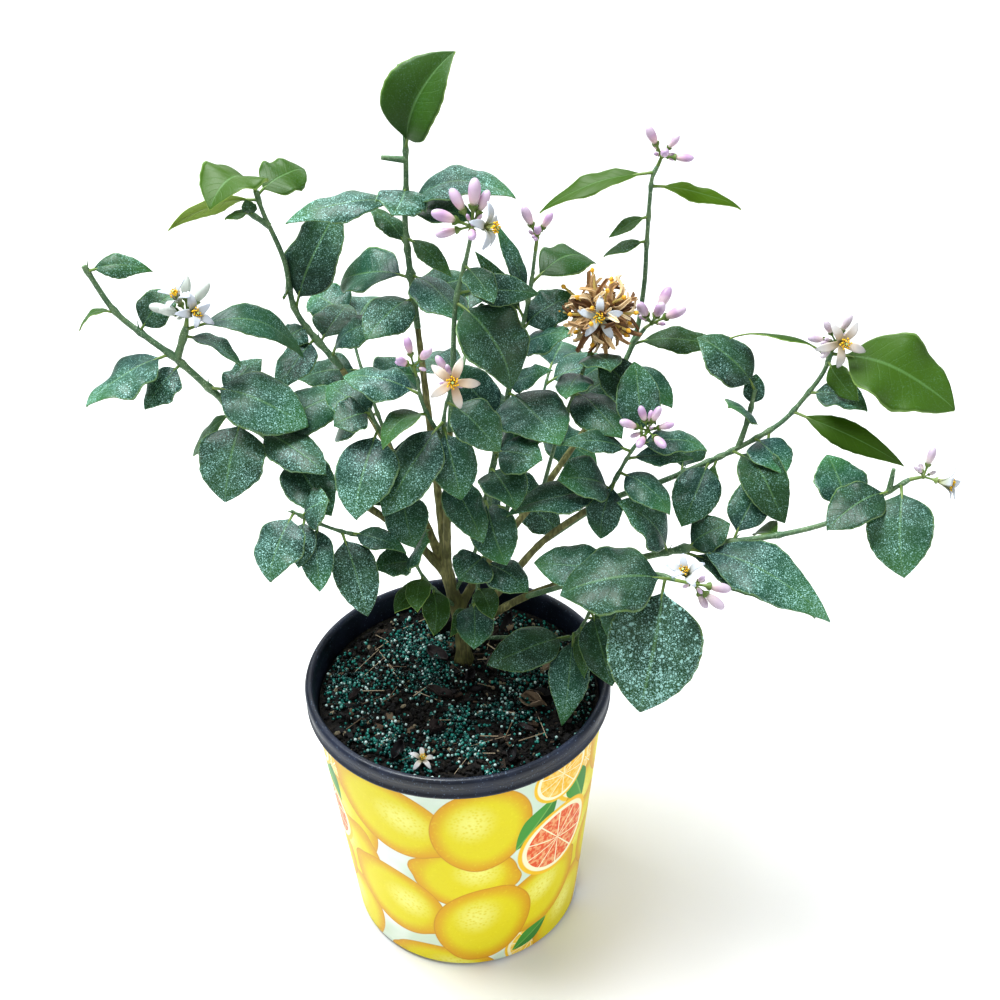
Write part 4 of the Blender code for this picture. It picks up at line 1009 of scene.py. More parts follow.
# Twigs are points in millimetres, and each first point sits on a limb or on an earlier twig.
# A leaf is (twig, share of the twig's length, tip, width, roll in degrees, arch).
# A shoot's girth thickens its twigs.
SHOOTS = {
    "shoot_far_left": {
        "girth": 1.7,
        "twigs": (
            ((-89, 25, 346), (-115, 30, 371), (-138, 36, 393), (-158, 40, 414),
             (-175, 45, 427), (-192, 50, 442), (-205, 52, 470)),
            ((-158, 40, 414), (-153, 43, 426), (-150, 44, 434)),
        ),
        "leaves": (
            (0, 0.54, (-208, 10, 404), 34, 10, 0.04),
            (0, 0.36, (-82, 20, 378), 36, 0, 0.10),
            (0, 0.22, (-134, -2, 340), 38, 0, 0.08),
            (0, 0.98, (-167, 55, 465), 14, 20, 0.12),
            (0, 0.82, (-214, 46, 433), 10, 30, 0.16),
            (0, 0.70, (-156, 60, 449), 20, 25, 0.10),
            (0, 0.48, (-178, 22, 392), 22, 0, 0.05),
            (1, 0.85, (-84, 62, 402), 22, 0, 0.22),
            (1, 0.60, (-119, 32, 413), 18, -30, 0.10),
            (0, 0.30, (-112, 58, 404), 20, 0, 0.08),
            (0, 0.12, (-58, 42, 388), 28, 10, 0.08),
            (0, 0.05, (-70, -12, 336), 28, 0, 0.08),
            (0, 0.16, (-71, -7, 362), 24, 0, 0.06),
            (0, 0.25, (-160, 46, 342), 14, 0, 0.05),
        ),
    },
    "shoot_upper_left": {
        "girth": 1.45,
        "twigs": (
            ((-65, 70, 388), (-91, 85, 419), (-96, 92, 451), (-106, 97, 480), (-109, 98, 494)),
            ((-103, 96, 472), (-114, 96, 481)),
        ),
        "leaves": (
            (0, 0.99, (-130, 62, 500), 36, 0, 0.26),
            (0, 0.96, (-82, 122, 497), 26, 10, 0.14),
            (0, 0.92, (-163, 92, 474), 15, 70, 0.10),
            (0, 0.42, (-62, 98, 483), 34, 0, 0.05),
            (1, 0.98, (-129, 94, 479), 8, 0, 0.05),
            (1, 0.85, (-114, 90, 491), 8, 0, 0.05),
            (0, 0.30, (-98, 72, 408), 18, 0, 0.06),
            (0, 0.50, (-99, 88, 428), 14, 40, 0.04),
            (0, 0.08, (-22, 64, 420), 22, 0, 0.26),
            (0, 0.18, (-62, 112, 412), 24, 0, 0.08),
            (0, 0.22, (-102, 47, 387), 22, 0, 0.08),
        ),
    },
    "shoot_top": {
        "girth": 1.45,
        "twigs": (
            ((-16, 60, 420), (-20, 68, 478), (-18, 70, 510), (-17, 70, 539), (-18, 70, 575)),
            ((-17, 70, 521), (-31, 67, 524)),
        ),
        "leaves": (
            (0, 0.72, (12, 64, 583), 34, 30, 0.12),
            (0, 0.50, (43, 50, 508), 28, 0, 0.12),
            (0, 0.50, (-88, 60, 492), 22, 10, 0.10),
            (0, 0.56, (-24, 30, 506), 26, 0, 0.04),
            (0, 0.48, (20, 54, 492), 20, -10, 0.08),
            (0, 0.34, (-42, 82, 490), 14, 0, 0.06),
            (0, 0.38, (6, 45, 461), 12, 0, 0.06),
            (0, 0.22, (12, 28, 441), 30, -20, 0.06),
            (0, 0.20, (-64, 95, 436), 30, 0, 0.08),
            (0, 0.12, (-44, 26, 432), 26, 0, 0.08),
            (0, 0.10, (20, 88, 438), 26, 0, 0.08),
        ),
    },
    "shoot_centre_flowers": {
        "girth": 1.3,
        "twigs": (
            ((2, 14, 375), (5, 22, 410), (8, 25, 451), (15, 28, 478), (18, 28, 491)),
        ),
        "leaves": (
            (0, 0.62, (40, -5, 415), 42, -10, 0.14),
            (0, 0.66, (56, 28, 457), 18, 20, 0.10),
            (0, 0.78, (30, 3, 464), 16, 0, 0.06),
        ),
    },
    "shoot_centre_back": {
        "girth": 1.3,
        "twigs": (
            ((20, 32, 262), (27, 42, 330), (42, 52, 400), (51, 58, 440), (55, 60, 468)),
        ),
        "leaves": (
            (0, 0.92, (92, 84, 450), 26, 0, 0.22),
            (0, 0.86, (32, 80, 478), 12, 10, 0.06),
            (0, 0.80, (20, 70, 464), 12, 0, 0.06),
            (0, 0.76, (78, 62, 438), 24, 0, 0.10),
            (0, 0.70, (74, 34, 428), 22, 0, 0.08),
            (0, 0.56, (66, -6, 377), 38, 0, 0.08),
            (0, 0.58, (61, 20, 412), 16, 30, 0.06),
            (0, 0.46, (-2, 72, 388), 28, 0, 0.08),
            (0, 0.36, (58, 30, 362), 28, 0, 0.08),
        ),
    },
    "shoot_spent_head": {
        "twigs": (
            ((58, 52, 305), (68, 48, 350), (82, 48, 392), (89, 49, 412)),
        ),
        "leaves": (
            (0, 0.94, (123, 8, 380), 24, 0, 0.10),
            (0, 0.90, (96, 13, 414), 22, 0, 0.10),
            (0, 0.66, (102, 2, 376), 26, -10, 0.10),
            (0, 0.80, (70, 14, 398), 20, 0, 0.06),
            (0, 0.52, (112, 66, 384), 26, 0, 0.08),
            (0, 0.46, (41, 9, 368), 26, 0, 0.08),
        ),
    },
    "shoot_right_upright": {
        "girth": 1.3,
        "twigs": (
            ((98, 82, 350), (118, 98, 385), (124, 103, 420), (125, 105, 450),
             (126, 107, 478), (127, 107, 492), (130, 107, 499)),
            ((118, 98, 385), (124, 86, 402)),
        ),
        "leaves": (
            (0, 0.92, (58, 110, 474), 16, 0, 0.03),
            (0, 0.80, (182, 105, 472), 14, 0, 0.05),
            (0, 0.66, (101, 100, 457), 8, 0, 0.06),
            (0, 0.58, (98, 100, 445), 9, 0, 0.06),
            (0, 0.28, (176, 84, 388), 18, 0, 0.14),
            (0, 0.16, (140, 60, 362), 24, 0, 0.08),
        ),
    },
    "shoot_mid_right": {
        "twigs": (
            ((95, 10, 327), (103, 6, 350), (110, 2, 368), (115, 0, 376)),
        ),
        "leaves": (
            (0, 0.50, (145, 0, 360), 14, 0, 0.06),
            (0, 0.72, (152, -4, 370), 18, 0, 0.10),
            (0, 0.60, (66, -4, 376), 16, 0, 0.10),
            (0, 0.94, (112, 26, 412), 24, 0, 0.06),
            (0, 0.10, (66, -6, 353), 30, 0, 0.06),
            (0, 0.06, (34, -16, 334), 26, 0, 0.10),
            (0, 0.20, (90, -8, 309), 20, 0, 0.08),
            (0, 0.30, (130, -22, 338), 20, 0, 0.08),
        ),
    },
    "shoot_far_right": {
        "girth": 1.4,
        "twigs": (
            ((57, 20, 288), (95, 26, 312), (130, 28, 325), (152, 30, 334), (178, 35, 344),
             (203, 38, 359), (217, 40, 376), (227, 42, 392), (230, 42, 406)),
            ((178, 35, 344), (184, 42, 360), (188, 48, 378)),
        ),
        "leaves": (
            (0, 0.99, (297, 6, 385), 50, 0, 0.10),
            (0, 0.80, (250, 20, 380), 22, 0, 0.06),
            (0, 0.72, (274, 8, 346), 16, 30, 0.04),
            (1, 0.98, (154, 62, 408), 30, 0, 0.14),
            (1, 0.70, (190, 56, 384), 12, 0, 0.04),
            (0, 0.97, (172, 58, 409), 14, 40, 0.10),
            (0, 0.60, (202, 8, 342), 26, 0, 0.12),
            (0, 0.95, (242, 18, 386), 14, 60, 0.04),
            (0, 0.48, (140, -4, 314), 26, 0, 0.08),
            (0, 0.50, (155, 8, 310), 12, 40, 0.04),
            (0, 0.54, (202, -6, 316), 26, 0, 0.24),
            (0, 0.64, (190, 20, 313), 16, 0, 0.04),
            (1, 0.50, (168, 22, 382), 22, 0, 0.10),
            (0, 0.40, (150, 64, 340), 24, 0, 0.08),
        ),
    },
    "shoot_low_right": {
        "girth": 1.4,
        "twigs": (
            ((110, -2, 288), (150, -10, 303), (200, -15, 314), (234, -15, 325),
             (259, -15, 343), (270, -15, 351)),
            ((259, -15, 343), (260, -14, 358)),
        ),
        "leaves": (
            (0, 0.24, (222, -60, 286), 34, 0, 0.10),
            (0, 0.20, (222, -34, 268), 24, 0, 0.04),
            (0, 0.86, (219, -37, 333), 26, 0, 0.10),
            (0, 0.94, (262, -55, 310), 34, 10, 0.14),
            (0, 0.74, (229, 14, 352), 30, 0, 0.02),
            (0, 0.16, (101, -9, 337), 28, 0, 0.10),
            (0, 0.24, (168, -8, 318), 22, 0, 0.06),
            (0, 0.56, (186, 4, 302), 14, 0, 0.04),
            (0, 0.40, (193, 23, 332), 22, 0, 0.08),
        ),
    },
    "shoot_front_right": {
        "girth": 1.3,
        "twigs": (
            ((45, 12, 250), (68, -6, 272), (90, -20, 290), (118, -34, 302), (132, -44, 304)),
        ),
        "leaves": (
            (0, 0.90, (108, -90, 243), 50, 0, 0.06),
            (0, 0.96, (64, -46, 298), 44, 0, 0.08),
            (0, 0.62, (50, -22, 304), 28, 0, 0.08),
            (0, 0.50, (99, -9, 251), 26, 0, 0.06),
            (0, 0.68, (96, -52, 262), 26, 0, 0.06),
        ),
    },
    "shoot_low_front": {
        "twigs": (
            ((3, 27, 203), (40, 15, 214), (70, 4, 220), (80, 5, 228), (88, 8, 244)),
        ),
        "leaves": (
            (0, 0.66, (20, -22, 224), 26, 0, 0.08),
            (0, 0.72, (66, -46, 192), 24, 0, 0.08),
            (0, 0.82, (80, -28, 216), 12, 0, 0.04),
            (0, 0.97, (98, -34, 214), 24, 0, 0.06),
            (0, 0.90, (110, 10, 222), 14, 0, 0.06),
        ),
    },
    "shoot_front_blossom": {
        "twigs": (
            ((-2, 20, 320), (-3, 10, 352), (-1, 6, 388), (4, 0, 412)),
            ((-2, 8, 372), (-12, 4, 398), (-15, 2, 420)),
        ),
        "leaves": (
            (0, 0.86, (31, -20, 382), 26, 0, 0.10),
            (0, 0.62, (8, -20, 349), 26, 0, 0.06),
            (0, 0.66, (-38, -32, 349), 28, 0, 0.08),
            (1, 0.40, (-36, -18, 386), 18, 20, 0.16),
            (1, 0.70, (-58, 15, 414), 24, 0, 0.10),
            (0, 0.30, (20, -20, 318), 22, 0, 0.06),
        ),
    },
    "shoot_left_of_centre": {
        "twigs": (
            ((-26, 22, 292), (-30, 12, 335), (-36, 6, 372), (-44, 8, 396)),
        ),
        "leaves": (
            (0, 0.86, (-54, -38, 352), 34, 0, 0.08),
            (0, 0.97, (-64, -2, 392), 24, 0, 0.08),
            (0, 0.50, (-22, -22, 318), 24, 0, 0.08),
            (0, 0.90, (-70, 32, 398), 22, 0, 0.10),
            (0, 0.60, (-68, 8, 352), 26, 0, 0.06),
            (0, 0.72, (-6, -10, 367), 22, 0, 0.06),
            (0, 0.35, (-56, 34, 328), 26, 0, 0.08),
        ),
    },
    "shoot_right_of_centre": {
        "twigs": (
            ((-2, 26, 242), (13, 18, 280), (20, 10, 322), (28, 3, 368)),
        ),
        "leaves": (
            (0, 0.99, (55, -10, 370), 26, 0, 0.08),
            (0, 0.90, (40, -27, 348), 26, 0, 0.06),
            (0, 0.72, (33, -22, 302), 26, 0, 0.08),
            (0, 0.80, (60, 4, 330), 24, 0, 0.08),
        ),
    },
    "shoot_lower_left": {
        "twigs": (
            ((-26, 22, 292), (-48, 2, 308), (-65, -8, 320), (-80, -15, 333), (-92, -18, 343)),
        ),
        "leaves": (
            (0, 0.97, (-104, -50, 316), 28, 0, 0.10),
            (0, 0.85, (-88, -40, 318), 14, 0, 0.04),
            (0, 0.72, (-76, -47, 306), 18, 0, 0.06),
            (0, 0.50, (-50, -44, 284), 24, 0, 0.06),
            (0, 0.42, (-26, -24, 316), 16, 0, 0.08),
            (0, 0.88, (-70, -20, 352), 26, 0, 0.06),
        ),
    },
    "shoot_under_left": {
        "twigs": (
            ((0, 26, 232), (-10, 8, 258), (-18, -4, 280), (-24, -8, 300)),
        ),
        "leaves": (
            (0, 0.62, (-36, -24, 270), 14, 0, 0.06),
            (0, 0.70, (-22, -30, 276), 14, 0, 0.06),
            (0, 0.45, (-12, -26, 253), 16, 0, 0.06),
            (0, 0.97, (-14, -22, 322), 26, 0, 0.08),
            (0, 0.90, (-46, -18, 300), 20, 0, 0.06),
        ),
    },
    "shoot_under_centre": {
        "twigs": (
            ((2, 27, 212), (12, 8, 250), (18, -4, 286), (25, -8, 313)),
        ),
        "leaves": (
            (0, 0.50, (12, -26, 242), 22, 0, 0.06),
            (0, 0.86, (4, -22, 292), 26, 0, 0.08),
            (0, 0.62, (24, -22, 262), 14, 0, 0.06),
            (0, 0.80, (46, -26, 286), 22, 0, 0.08),
            (0, 0.40, (-2, -17, 245), 12, 0, 0.04),
        ),
    },
    "shoot_rear_left": {
        "twigs": (
            ((-32, 45, 330), (-46, 78, 350), (-58, 108, 372), (-64, 128, 392)),
        ),
        "leaves": (
            (0, 0.99, (-90, 150, 400), 28, 0, 0.12),
            (0, 0.95, (-42, 168, 388), 30, 0, 0.12),
            (0, 0.72, (-98, 104, 362), 28, 0, 0.10),
            (0, 0.62, (-20, 122, 352), 30, 0, 0.10),
            (0, 0.40, (-78, 96, 322), 26, 0, 0.08),
        ),
    },
    "shoot_rear_centre": {
        "twigs": (
            ((-9, 36, 330), (2, 70, 352), (10, 104, 372), (14, 128, 392)),
        ),
        "leaves": (
            (0, 0.99, (10, 172, 398), 30, 0, 0.12),
            (0, 0.90, (48, 142, 380), 28, 0, 0.10),
            (0, 0.66, (-21, 142, 354), 28, 0, 0.10),
            (0, 0.50, (46, 96, 340), 30, 0, 0.10),
            (0, 0.30, (-16, 92, 318), 26, 0, 0.08),
        ),
    },
    "shoot_rear_right": {
        "twigs": (
            ((20, 32, 262), (38, 66, 290), (54, 100, 322), (66, 124, 352)),
        ),
        "leaves": (
            (0, 0.99, (78, 168, 352), 30, 0, 0.12),
            (0, 0.92, (109, 126, 355), 28, 0, 0.10),
            (0, 0.66, (96, 88, 300), 30, 0, 0.10),
            (0, 0.60, (28, 140, 300), 30, 0, 0.10),
            (0, 0.34, (70, 58, 268), 26, 0, 0.08),
            (0, 0.28, (8, 92, 262), 26, 0, 0.08),
        ),
    },
}

leaf_veins, given, made = new_group(
    "leaf_veins", {},
    {"Midrib": "float", "Side veins": "float", "Margin": "float", "Along": "float"},
)
uv = shader_node(leaf_veins, "ShaderNodeUVMap", uv_map="UVMap").outputs["UV"]
axes = shader_node(leaf_veins, "ShaderNodeSeparateXYZ", {"Vector": uv}).outputs
across = maths(
    leaf_veins, "MULTIPLY",
    maths(leaf_veins, "ABSOLUTE", maths(leaf_veins, "SUBTRACT", axes["X"], 0.5)), 2.0,
)
leaf_veins.links.new(spread(leaf_veins, across, 0.015, 0.06, 1.0, 0.0), made["Midrib"])
leaf_veins.links.new(spread(leaf_veins, across, 0.93, 0.985), made["Margin"])
wander = maths(leaf_veins, "MULTIPLY", cloudy(leaf_veins, 60.0, 1.0), 0.9)
step = maths(
    leaf_veins, "SUBTRACT", maths(leaf_veins, "MULTIPLY", axes["Y"], 11.0),
    maths(leaf_veins, "MULTIPLY", across, 2.0),
)
wave = maths(leaf_veins, "PINGPONG", maths(leaf_veins, "ADD", step, wander), 0.5)
line = spread(leaf_veins, wave, 0.0, 0.10, 1.0, 0.0)
leaf_veins.links.new(
    maths(leaf_veins, "MULTIPLY", line, spread(leaf_veins, across, 0.4, 1.0, 1.0, 0.15)),
    made["Side veins"],
)
leaf_veins.links.new(axes["Y"], made["Along"])

leaf_upper, tree, shader = new_finish("leaf_upper", Specular_IOR_Level=0.26)
veins = use_group(tree, leaf_veins, {})
age = own_value(tree, "age")
tone = own_value(tree, "tone")
dust = own_value(tree, "dust")
mature = shaded_colours(
    tree, veins["Along"], (0.010, 0.038, 0.046), (0.009, 0.046, 0.042), (0.011, 0.066, 0.038),
    (0.055, 0.190, 0.050),
)
mature = blend_colours(tree, spread(tree, tone, 0.0, 1.0, 0.75, 0.0), mature, (0.008, 0.022, 0.008))
mature = blend_colours(
    tree, spread(tree, cloudy(tree, 45.0, 3.0), 0.4, 0.7, 0.0, 0.40), mature, (0.045, 0.125, 0.045),
)
fresh = blend_colours(tree, tone, (0.018, 0.066, 0.0003), (0.055, 0.118, 0.0005))
green = blend_colours(tree, age, mature, fresh)
green = blend_colours(
    tree, maths(tree, "MULTIPLY", veins["Side veins"], 0.08), green, (0.10, 0.22, 0.06),
)
green = blend_colours(tree, maths(tree, "MULTIPLY", veins["Midrib"], 0.50), green, (0.12, 0.24, 0.08))
green = blend_colours(tree, maths(tree, "MULTIPLY", veins["Margin"], 0.55), green, (0.24, 0.36, 0.12))
film = cloudy(tree, 95.0, 4.0)
specks = use_group(tree, dried_specks, {"Specks per metre": 820.0, "Cover": 0.60})["Mask"]
crust = spread(tree, cloudy(tree, 1500.0, 3.0), 0.44, 0.64)
flakes = use_group(tree, dried_specks, {"Specks per metre": 340.0, "Cover": 0.62})["Mask"]
flakes = maths(tree, "MULTIPLY", flakes, spread(tree, dust, 1.25, 1.9))
thick = maths(
    tree, "MULTIPLY", spread(tree, film, 0.30, 0.68, 0.30, 1.0),
    spread(tree, veins["Along"], 0.1, 0.8, 0.55, 1.0),
)
thick = maths(tree, "MULTIPLY", thick, maths(tree, "MINIMUM", dust, 1.25))
cover = maths(
    tree, "MINIMUM", maths(tree, "MULTIPLY", crust, maths(tree, "MULTIPLY", thick, 0.62)), 0.9,
)
green = blend_colours(tree, cover, green, (0.22, 0.42, 0.37))
specks = maths(tree, "MAXIMUM", maths(tree, "MULTIPLY", specks, thick), flakes)
cover = maths(tree, "MAXIMUM", cover, specks)
green = blend_colours(tree, maths(tree, "MINIMUM", specks, 0.92), green, (0.42, 0.70, 0.66))
plug(tree, shader.inputs["Base Color"], green)
plug(
    tree, shader.inputs["Roughness"],
    maths(
        tree, "ADD", spread(tree, age, 0.0, 1.0, 0.36, 0.46), maths(tree, "MULTIPLY", cover, 0.25),
    ),
)
rise = maths(tree, "ADD", veins["Side veins"], maths(tree, "MULTIPLY", veins["Midrib"], 2.0))
rise = maths(tree, "SUBTRACT", maths(tree, "MULTIPLY", cloudy(tree, 300.0, 2.0), 0.8), rise)
relief(tree, shader, rise, 0.00022, 0.4)

leaf_lower, tree, shader = new_finish("leaf_lower", Roughness=0.62)
veins = use_group(tree, leaf_veins, {})
pale = blend_colours(tree, own_value(tree, "age"), (0.085, 0.175, 0.060), (0.250, 0.370, 0.055))
pale = blend_colours(tree, maths(tree, "MULTIPLY", veins["Side veins"], 0.30), pale, (0.24, 0.34, 0.12))
pale = blend_colours(tree, maths(tree, "MULTIPLY", veins["Midrib"], 0.85), pale, (0.34, 0.44, 0.16))
plug(tree, shader.inputs["Base Color"], pale)
rise = maths(tree, "ADD", veins["Side veins"], maths(tree, "MULTIPLY", veins["Midrib"], 2.0))
relief(tree, shader, rise, 0.0003, 0.8)

twig_skin, tree, shader = new_finish("twig_skin", Roughness=0.55)
fleck = use_group(tree, dried_specks, {"Specks per metre": 800.0, "Cover": 0.40})["Mask"]
twig_colour = blend_colours(
    tree, spread(tree, cloudy(tree, 120.0, 3.0), 0.35, 0.7), (0.070, 0.150, 0.075),
    (0.150, 0.240, 0.115),
)
plug(
    tree, shader.inputs["Base Color"],
    blend_colours(tree, maths(tree, "MULTIPLY", fleck, 0.7), twig_colour, (0.40, 0.52, 0.36)),
)
relief(tree, shader, cloudy(tree, 700.0, 2.0), 0.0004)

stalk_skin, tree, shader = new_finish("stalk_skin", Roughness=0.5)
plug(
    tree, shader.inputs["Base Color"],
    blend_colours(
        tree, spread(tree, cloudy(tree, 160.0, 2.0), 0.35, 0.7), (0.110, 0.190, 0.035),
        (0.200, 0.280, 0.080),
    ),
)


def blade_pattern(name, outline):
    """A flat leaf two wide and two long, upper side up, drawn in row by row to its outline."""
    bpy.ops.object.select_all(action="DESELECT")
    bpy.ops.mesh.primitive_grid_add(x_subdivisions=LEAF_COLUMNS, y_subdivisions=LEAF_ROWS, size=2.0)
    blade = bpy.context.object
    blade.name = name
    bpy.context.tool_settings.mesh_select_mode = (True, False, False)
    shares = [share for share, _ in outline]
    halves = [half for _, half in outline]
    for row in range(LEAF_ROWS + 1):
        y = -1.0 + 2.0 * row / LEAF_ROWS
        bpy.ops.object.mode_set(mode="EDIT")
        bpy.ops.mesh.select_all(action="DESELECT")
        bpy.ops.object.mode_set(mode="OBJECT")
        for vertex in blade.data.vertices:
            vertex.select = abs(vertex.co.y - y) < 0.001
        half = float(np.interp((y + 1) / 2, shares, halves))
        half *= 1.0 + 0.012 * math.cos(math.pi * row / 2)
        bpy.ops.object.mode_set(mode="EDIT")
        bpy.ops.transform.resize(value=(half, 1.0, 1.0), center_override=(0, y, 0))
        bpy.ops.object.mode_set(mode="OBJECT")
    blade.data.materials.append(leaf_upper)
    blade.data.materials.append(leaf_lower)
    apply_modifier(blade, "SOLIDIFY", thickness=0.01, material_offset=1, material_offset_rim=1)
    blade.data.shade_smooth()
    return blade


def leaf_frame(base, tip, roll):
    """A leaf's directions along, across and out of its face."""
    along = (tip - base).normalized()
    up = Vector(LEAF_FACING)
    normal = up - along * up.dot(along)
    if normal.length < 0.2:
        up = Vector(STEEP_LEAF_FACING)
        normal = up - along * up.dot(along)
    normal.normalize()
    normal.rotate(Matrix.Rotation(math.radians(roll), 3, along))
    return along, along.cross(normal), normal


def lay_leaf(pattern, base, leaf, age, dust, creased, limp, dice):
    """A copy of a leaf pattern laid from its twig to its tip, folded, arched, waved and twisted."""
    tip, width, roll, arch = Vector(leaf[2]) * MM, leaf[3] * MM, leaf[4], leaf[5]
    along, side, normal = leaf_frame(base, tip, roll)
    length = (tip - base).length
    mesh = pattern.data.copy()
    piece = bpy.data.objects.new("leaf", mesh)
    bpy.context.scene.collection.objects.link(piece)
    spots = np.zeros(len(mesh.vertices) * 3)
    mesh.vertices.foreach_get("co", spots)
    x, y, z = spots.reshape(-1, 3).T
    t = (y + 1) / 2
    out = x * width * 0.56
    fold = LEAF_FOLD * creased * (1 - 0.5 * t)
    swell = np.sin(np.pi * np.clip((t - 0.12) / 0.88, 0, 1))
    arch += dice.uniform(0.0, 0.045)
    lift = arch * length * 4 * t * (1 - t) + fold * np.abs(out)
    lift -= dice.uniform(0.0, 0.30) * length * np.clip(t - 0.5, 0, 1) ** 2
    bend = dice.uniform(0.2, 1.5) * limp
    lift -= bend * out ** 2 / width * 0.55
    wave = dice.uniform(0.03, 0.10) * width * x ** 2 * swell
    for sign in (-1, 1):
        phase = dice.uniform(0, math.tau)
        beats = dice.uniform(1.6, 3.0) * math.tau
        lift += np.where(x * sign > 0, wave * np.sin(beats * t + phase), 0.0)
    lift += 0.012 * length * np.sin(math.tau * t * dice.uniform(0.8, 1.4)) * swell
    sway = 0.03 * length * dice.uniform(-1, 1) * np.sin(np.pi * t)
    twist = math.radians(dice.uniform(-28, 28)) * limp * np.clip(t - 0.15, 0, 1)
    rib = np.where((np.abs(x) < 0.02) & (z < -0.005), 2.4, 1.0)
    rise = lift + z / 0.01 * LEAF_THICKNESS * rib
    over = sway + out * np.cos(twist) - rise * np.sin(twist)
    rise = rise * np.cos(twist) + out * np.sin(twist)
    made = (
        np.outer(t * length, along) + np.outer(over, side) + np.outer(rise, normal) + np.array(base)
    )
    mesh.vertices.foreach_set("co", made.ravel())
    for name, value in (("age", age), ("dust", dust), ("tone", dice.random())):
        mesh.attributes.new(name, "FLOAT", "POINT")
        mesh.attributes[name].data.foreach_set("value", np.full(len(t), value, np.float32))
    mesh.update()
    stalk = [
        base + along * (length * t) + normal * (arch * length * 4 * t * (1 - t))
        for t in (0.0, 0.06, 0.11, 0.16, 0.24)
    ]
    return piece, [point - normal * 0.0003 for point in stalk]


def joined_pieces(name, pieces):
    """Joins pieces into the first one."""
    bpy.ops.object.select_all(action="DESELECT")
    for piece in pieces:
        piece.select_set(True)
    bpy.context.view_layer.objects.active = pieces[0]
    bpy.ops.object.join()
    pieces[0].name = name
    return pieces[0]


broad = blade_pattern("broad_leaf", BROAD_LEAF)
pointed = blade_pattern("pointed_leaf", POINTED_LEAF)
for shoot, plan in SHOOTS.items():
    dice = random.Random(shoot)
    coarse = [smooth_route([Vector(point) * MM for point in twig], TWIG_STEP) for twig in plan["twigs"]]
    twigs = [
        smooth_route([Vector(point) * MM for point in twig], TWIG_FINE_STEP)
        for twig in plan["twigs"]
    ]
    girth = plan.get("girth", 1.0)
    widths = [tapered(route, TWIG_RADIUS * girth, TWIG_TIP_RADIUS * girth) for route in twigs]
    stems = new_stems(shoot + "_stems", 1)
    stems.data.materials.append(twig_skin)
    stems.data.materials.append(stalk_skin)
    pieces = []
    for i, leaf in enumerate(plan["leaves"]):
        route = coarse[leaf[0]]
        place = leaf[1] * (len(route) - 1)
        start = min(int(place), len(route) - 2)
        base = route[start].lerp(route[start + 1], place - start)
        age = NEW_LEAVES.get(shoot, {}).get(i, dice.uniform(0.0, 0.14))
        reach = (Vector(leaf[2]) * MM - base).length
        slim = leaf[3] * MM < 0.42 * reach
        dust = DUSTY_LEAVES.get(shoot, {}).get(i, dice.uniform(0.45, 1.0)) * (1 - age)
        creased = CREASED_LEAVES.get(shoot, {}).get(i, dice.uniform(0.5, 2.2))
        limp = 0.15 if i in FLAT_LEAVES.get(shoot, ()) else 1.0
        blade = pointed if slim else broad
        piece, stalk = lay_leaf(blade, base, leaf, age, dust, creased * limp, limp, dice)
        pieces.append(piece)
        add_strand(stems, stalk, (0.0012, STALK_RADIUS, STALK_RADIUS, 0.0007, 0.0002), 1)
        fine = twigs[leaf[0]]
        node = min(range(len(fine)), key=lambda n: (fine[n] - base).length)
        widths[leaf[0]][node] *= 1.35
        if dice.random() < 0.35:
            way = (stalk[1] - stalk[0]).normalized()
            away = (
                way + Vector((0, 0, 0.7)) + (route[start + 1] - route[start]).normalized()
            ).normalized()
            add_strand(
                stems, [base, base + away * 0.003, base + away * 0.0075], (0.0007, 0.0005, 0.0001),
            )
    for route, radii in zip(twigs, widths):
        add_strand(stems, route, radii)
    stems = as_mesh(stems)
    branch = joined_pieces(shoot + "_leaves", [stems, *pieces])
    hand_over(branch, "leaf", shoot)
bpy.data.objects.remove(broad)
bpy.data.objects.remove(pointed)

# ---------------------------------------------------------------------------------------------
# Blossom clusters. Waxy lilac-pink buds and white strap-petalled flowers stand on thin green
# stalks from one knot at a twig's end. Each flower has a ring of stamens with yellow anthers.

PEDICEL_LENGTH = 0.007
PEDICEL_RADIUS = 0.0007
BUD_LENGTH = 0.0115
BUD_RADIUS = 0.0029
PETAL_LENGTH = 0.0145
PETAL_WIDTH = 0.0054
PETAL_COUNT = 5
PETAL_CUP = 0.35
HALF_OPEN_CUP = 1.0
STAMEN_COUNT = 18
SMALL_BUDS = 4
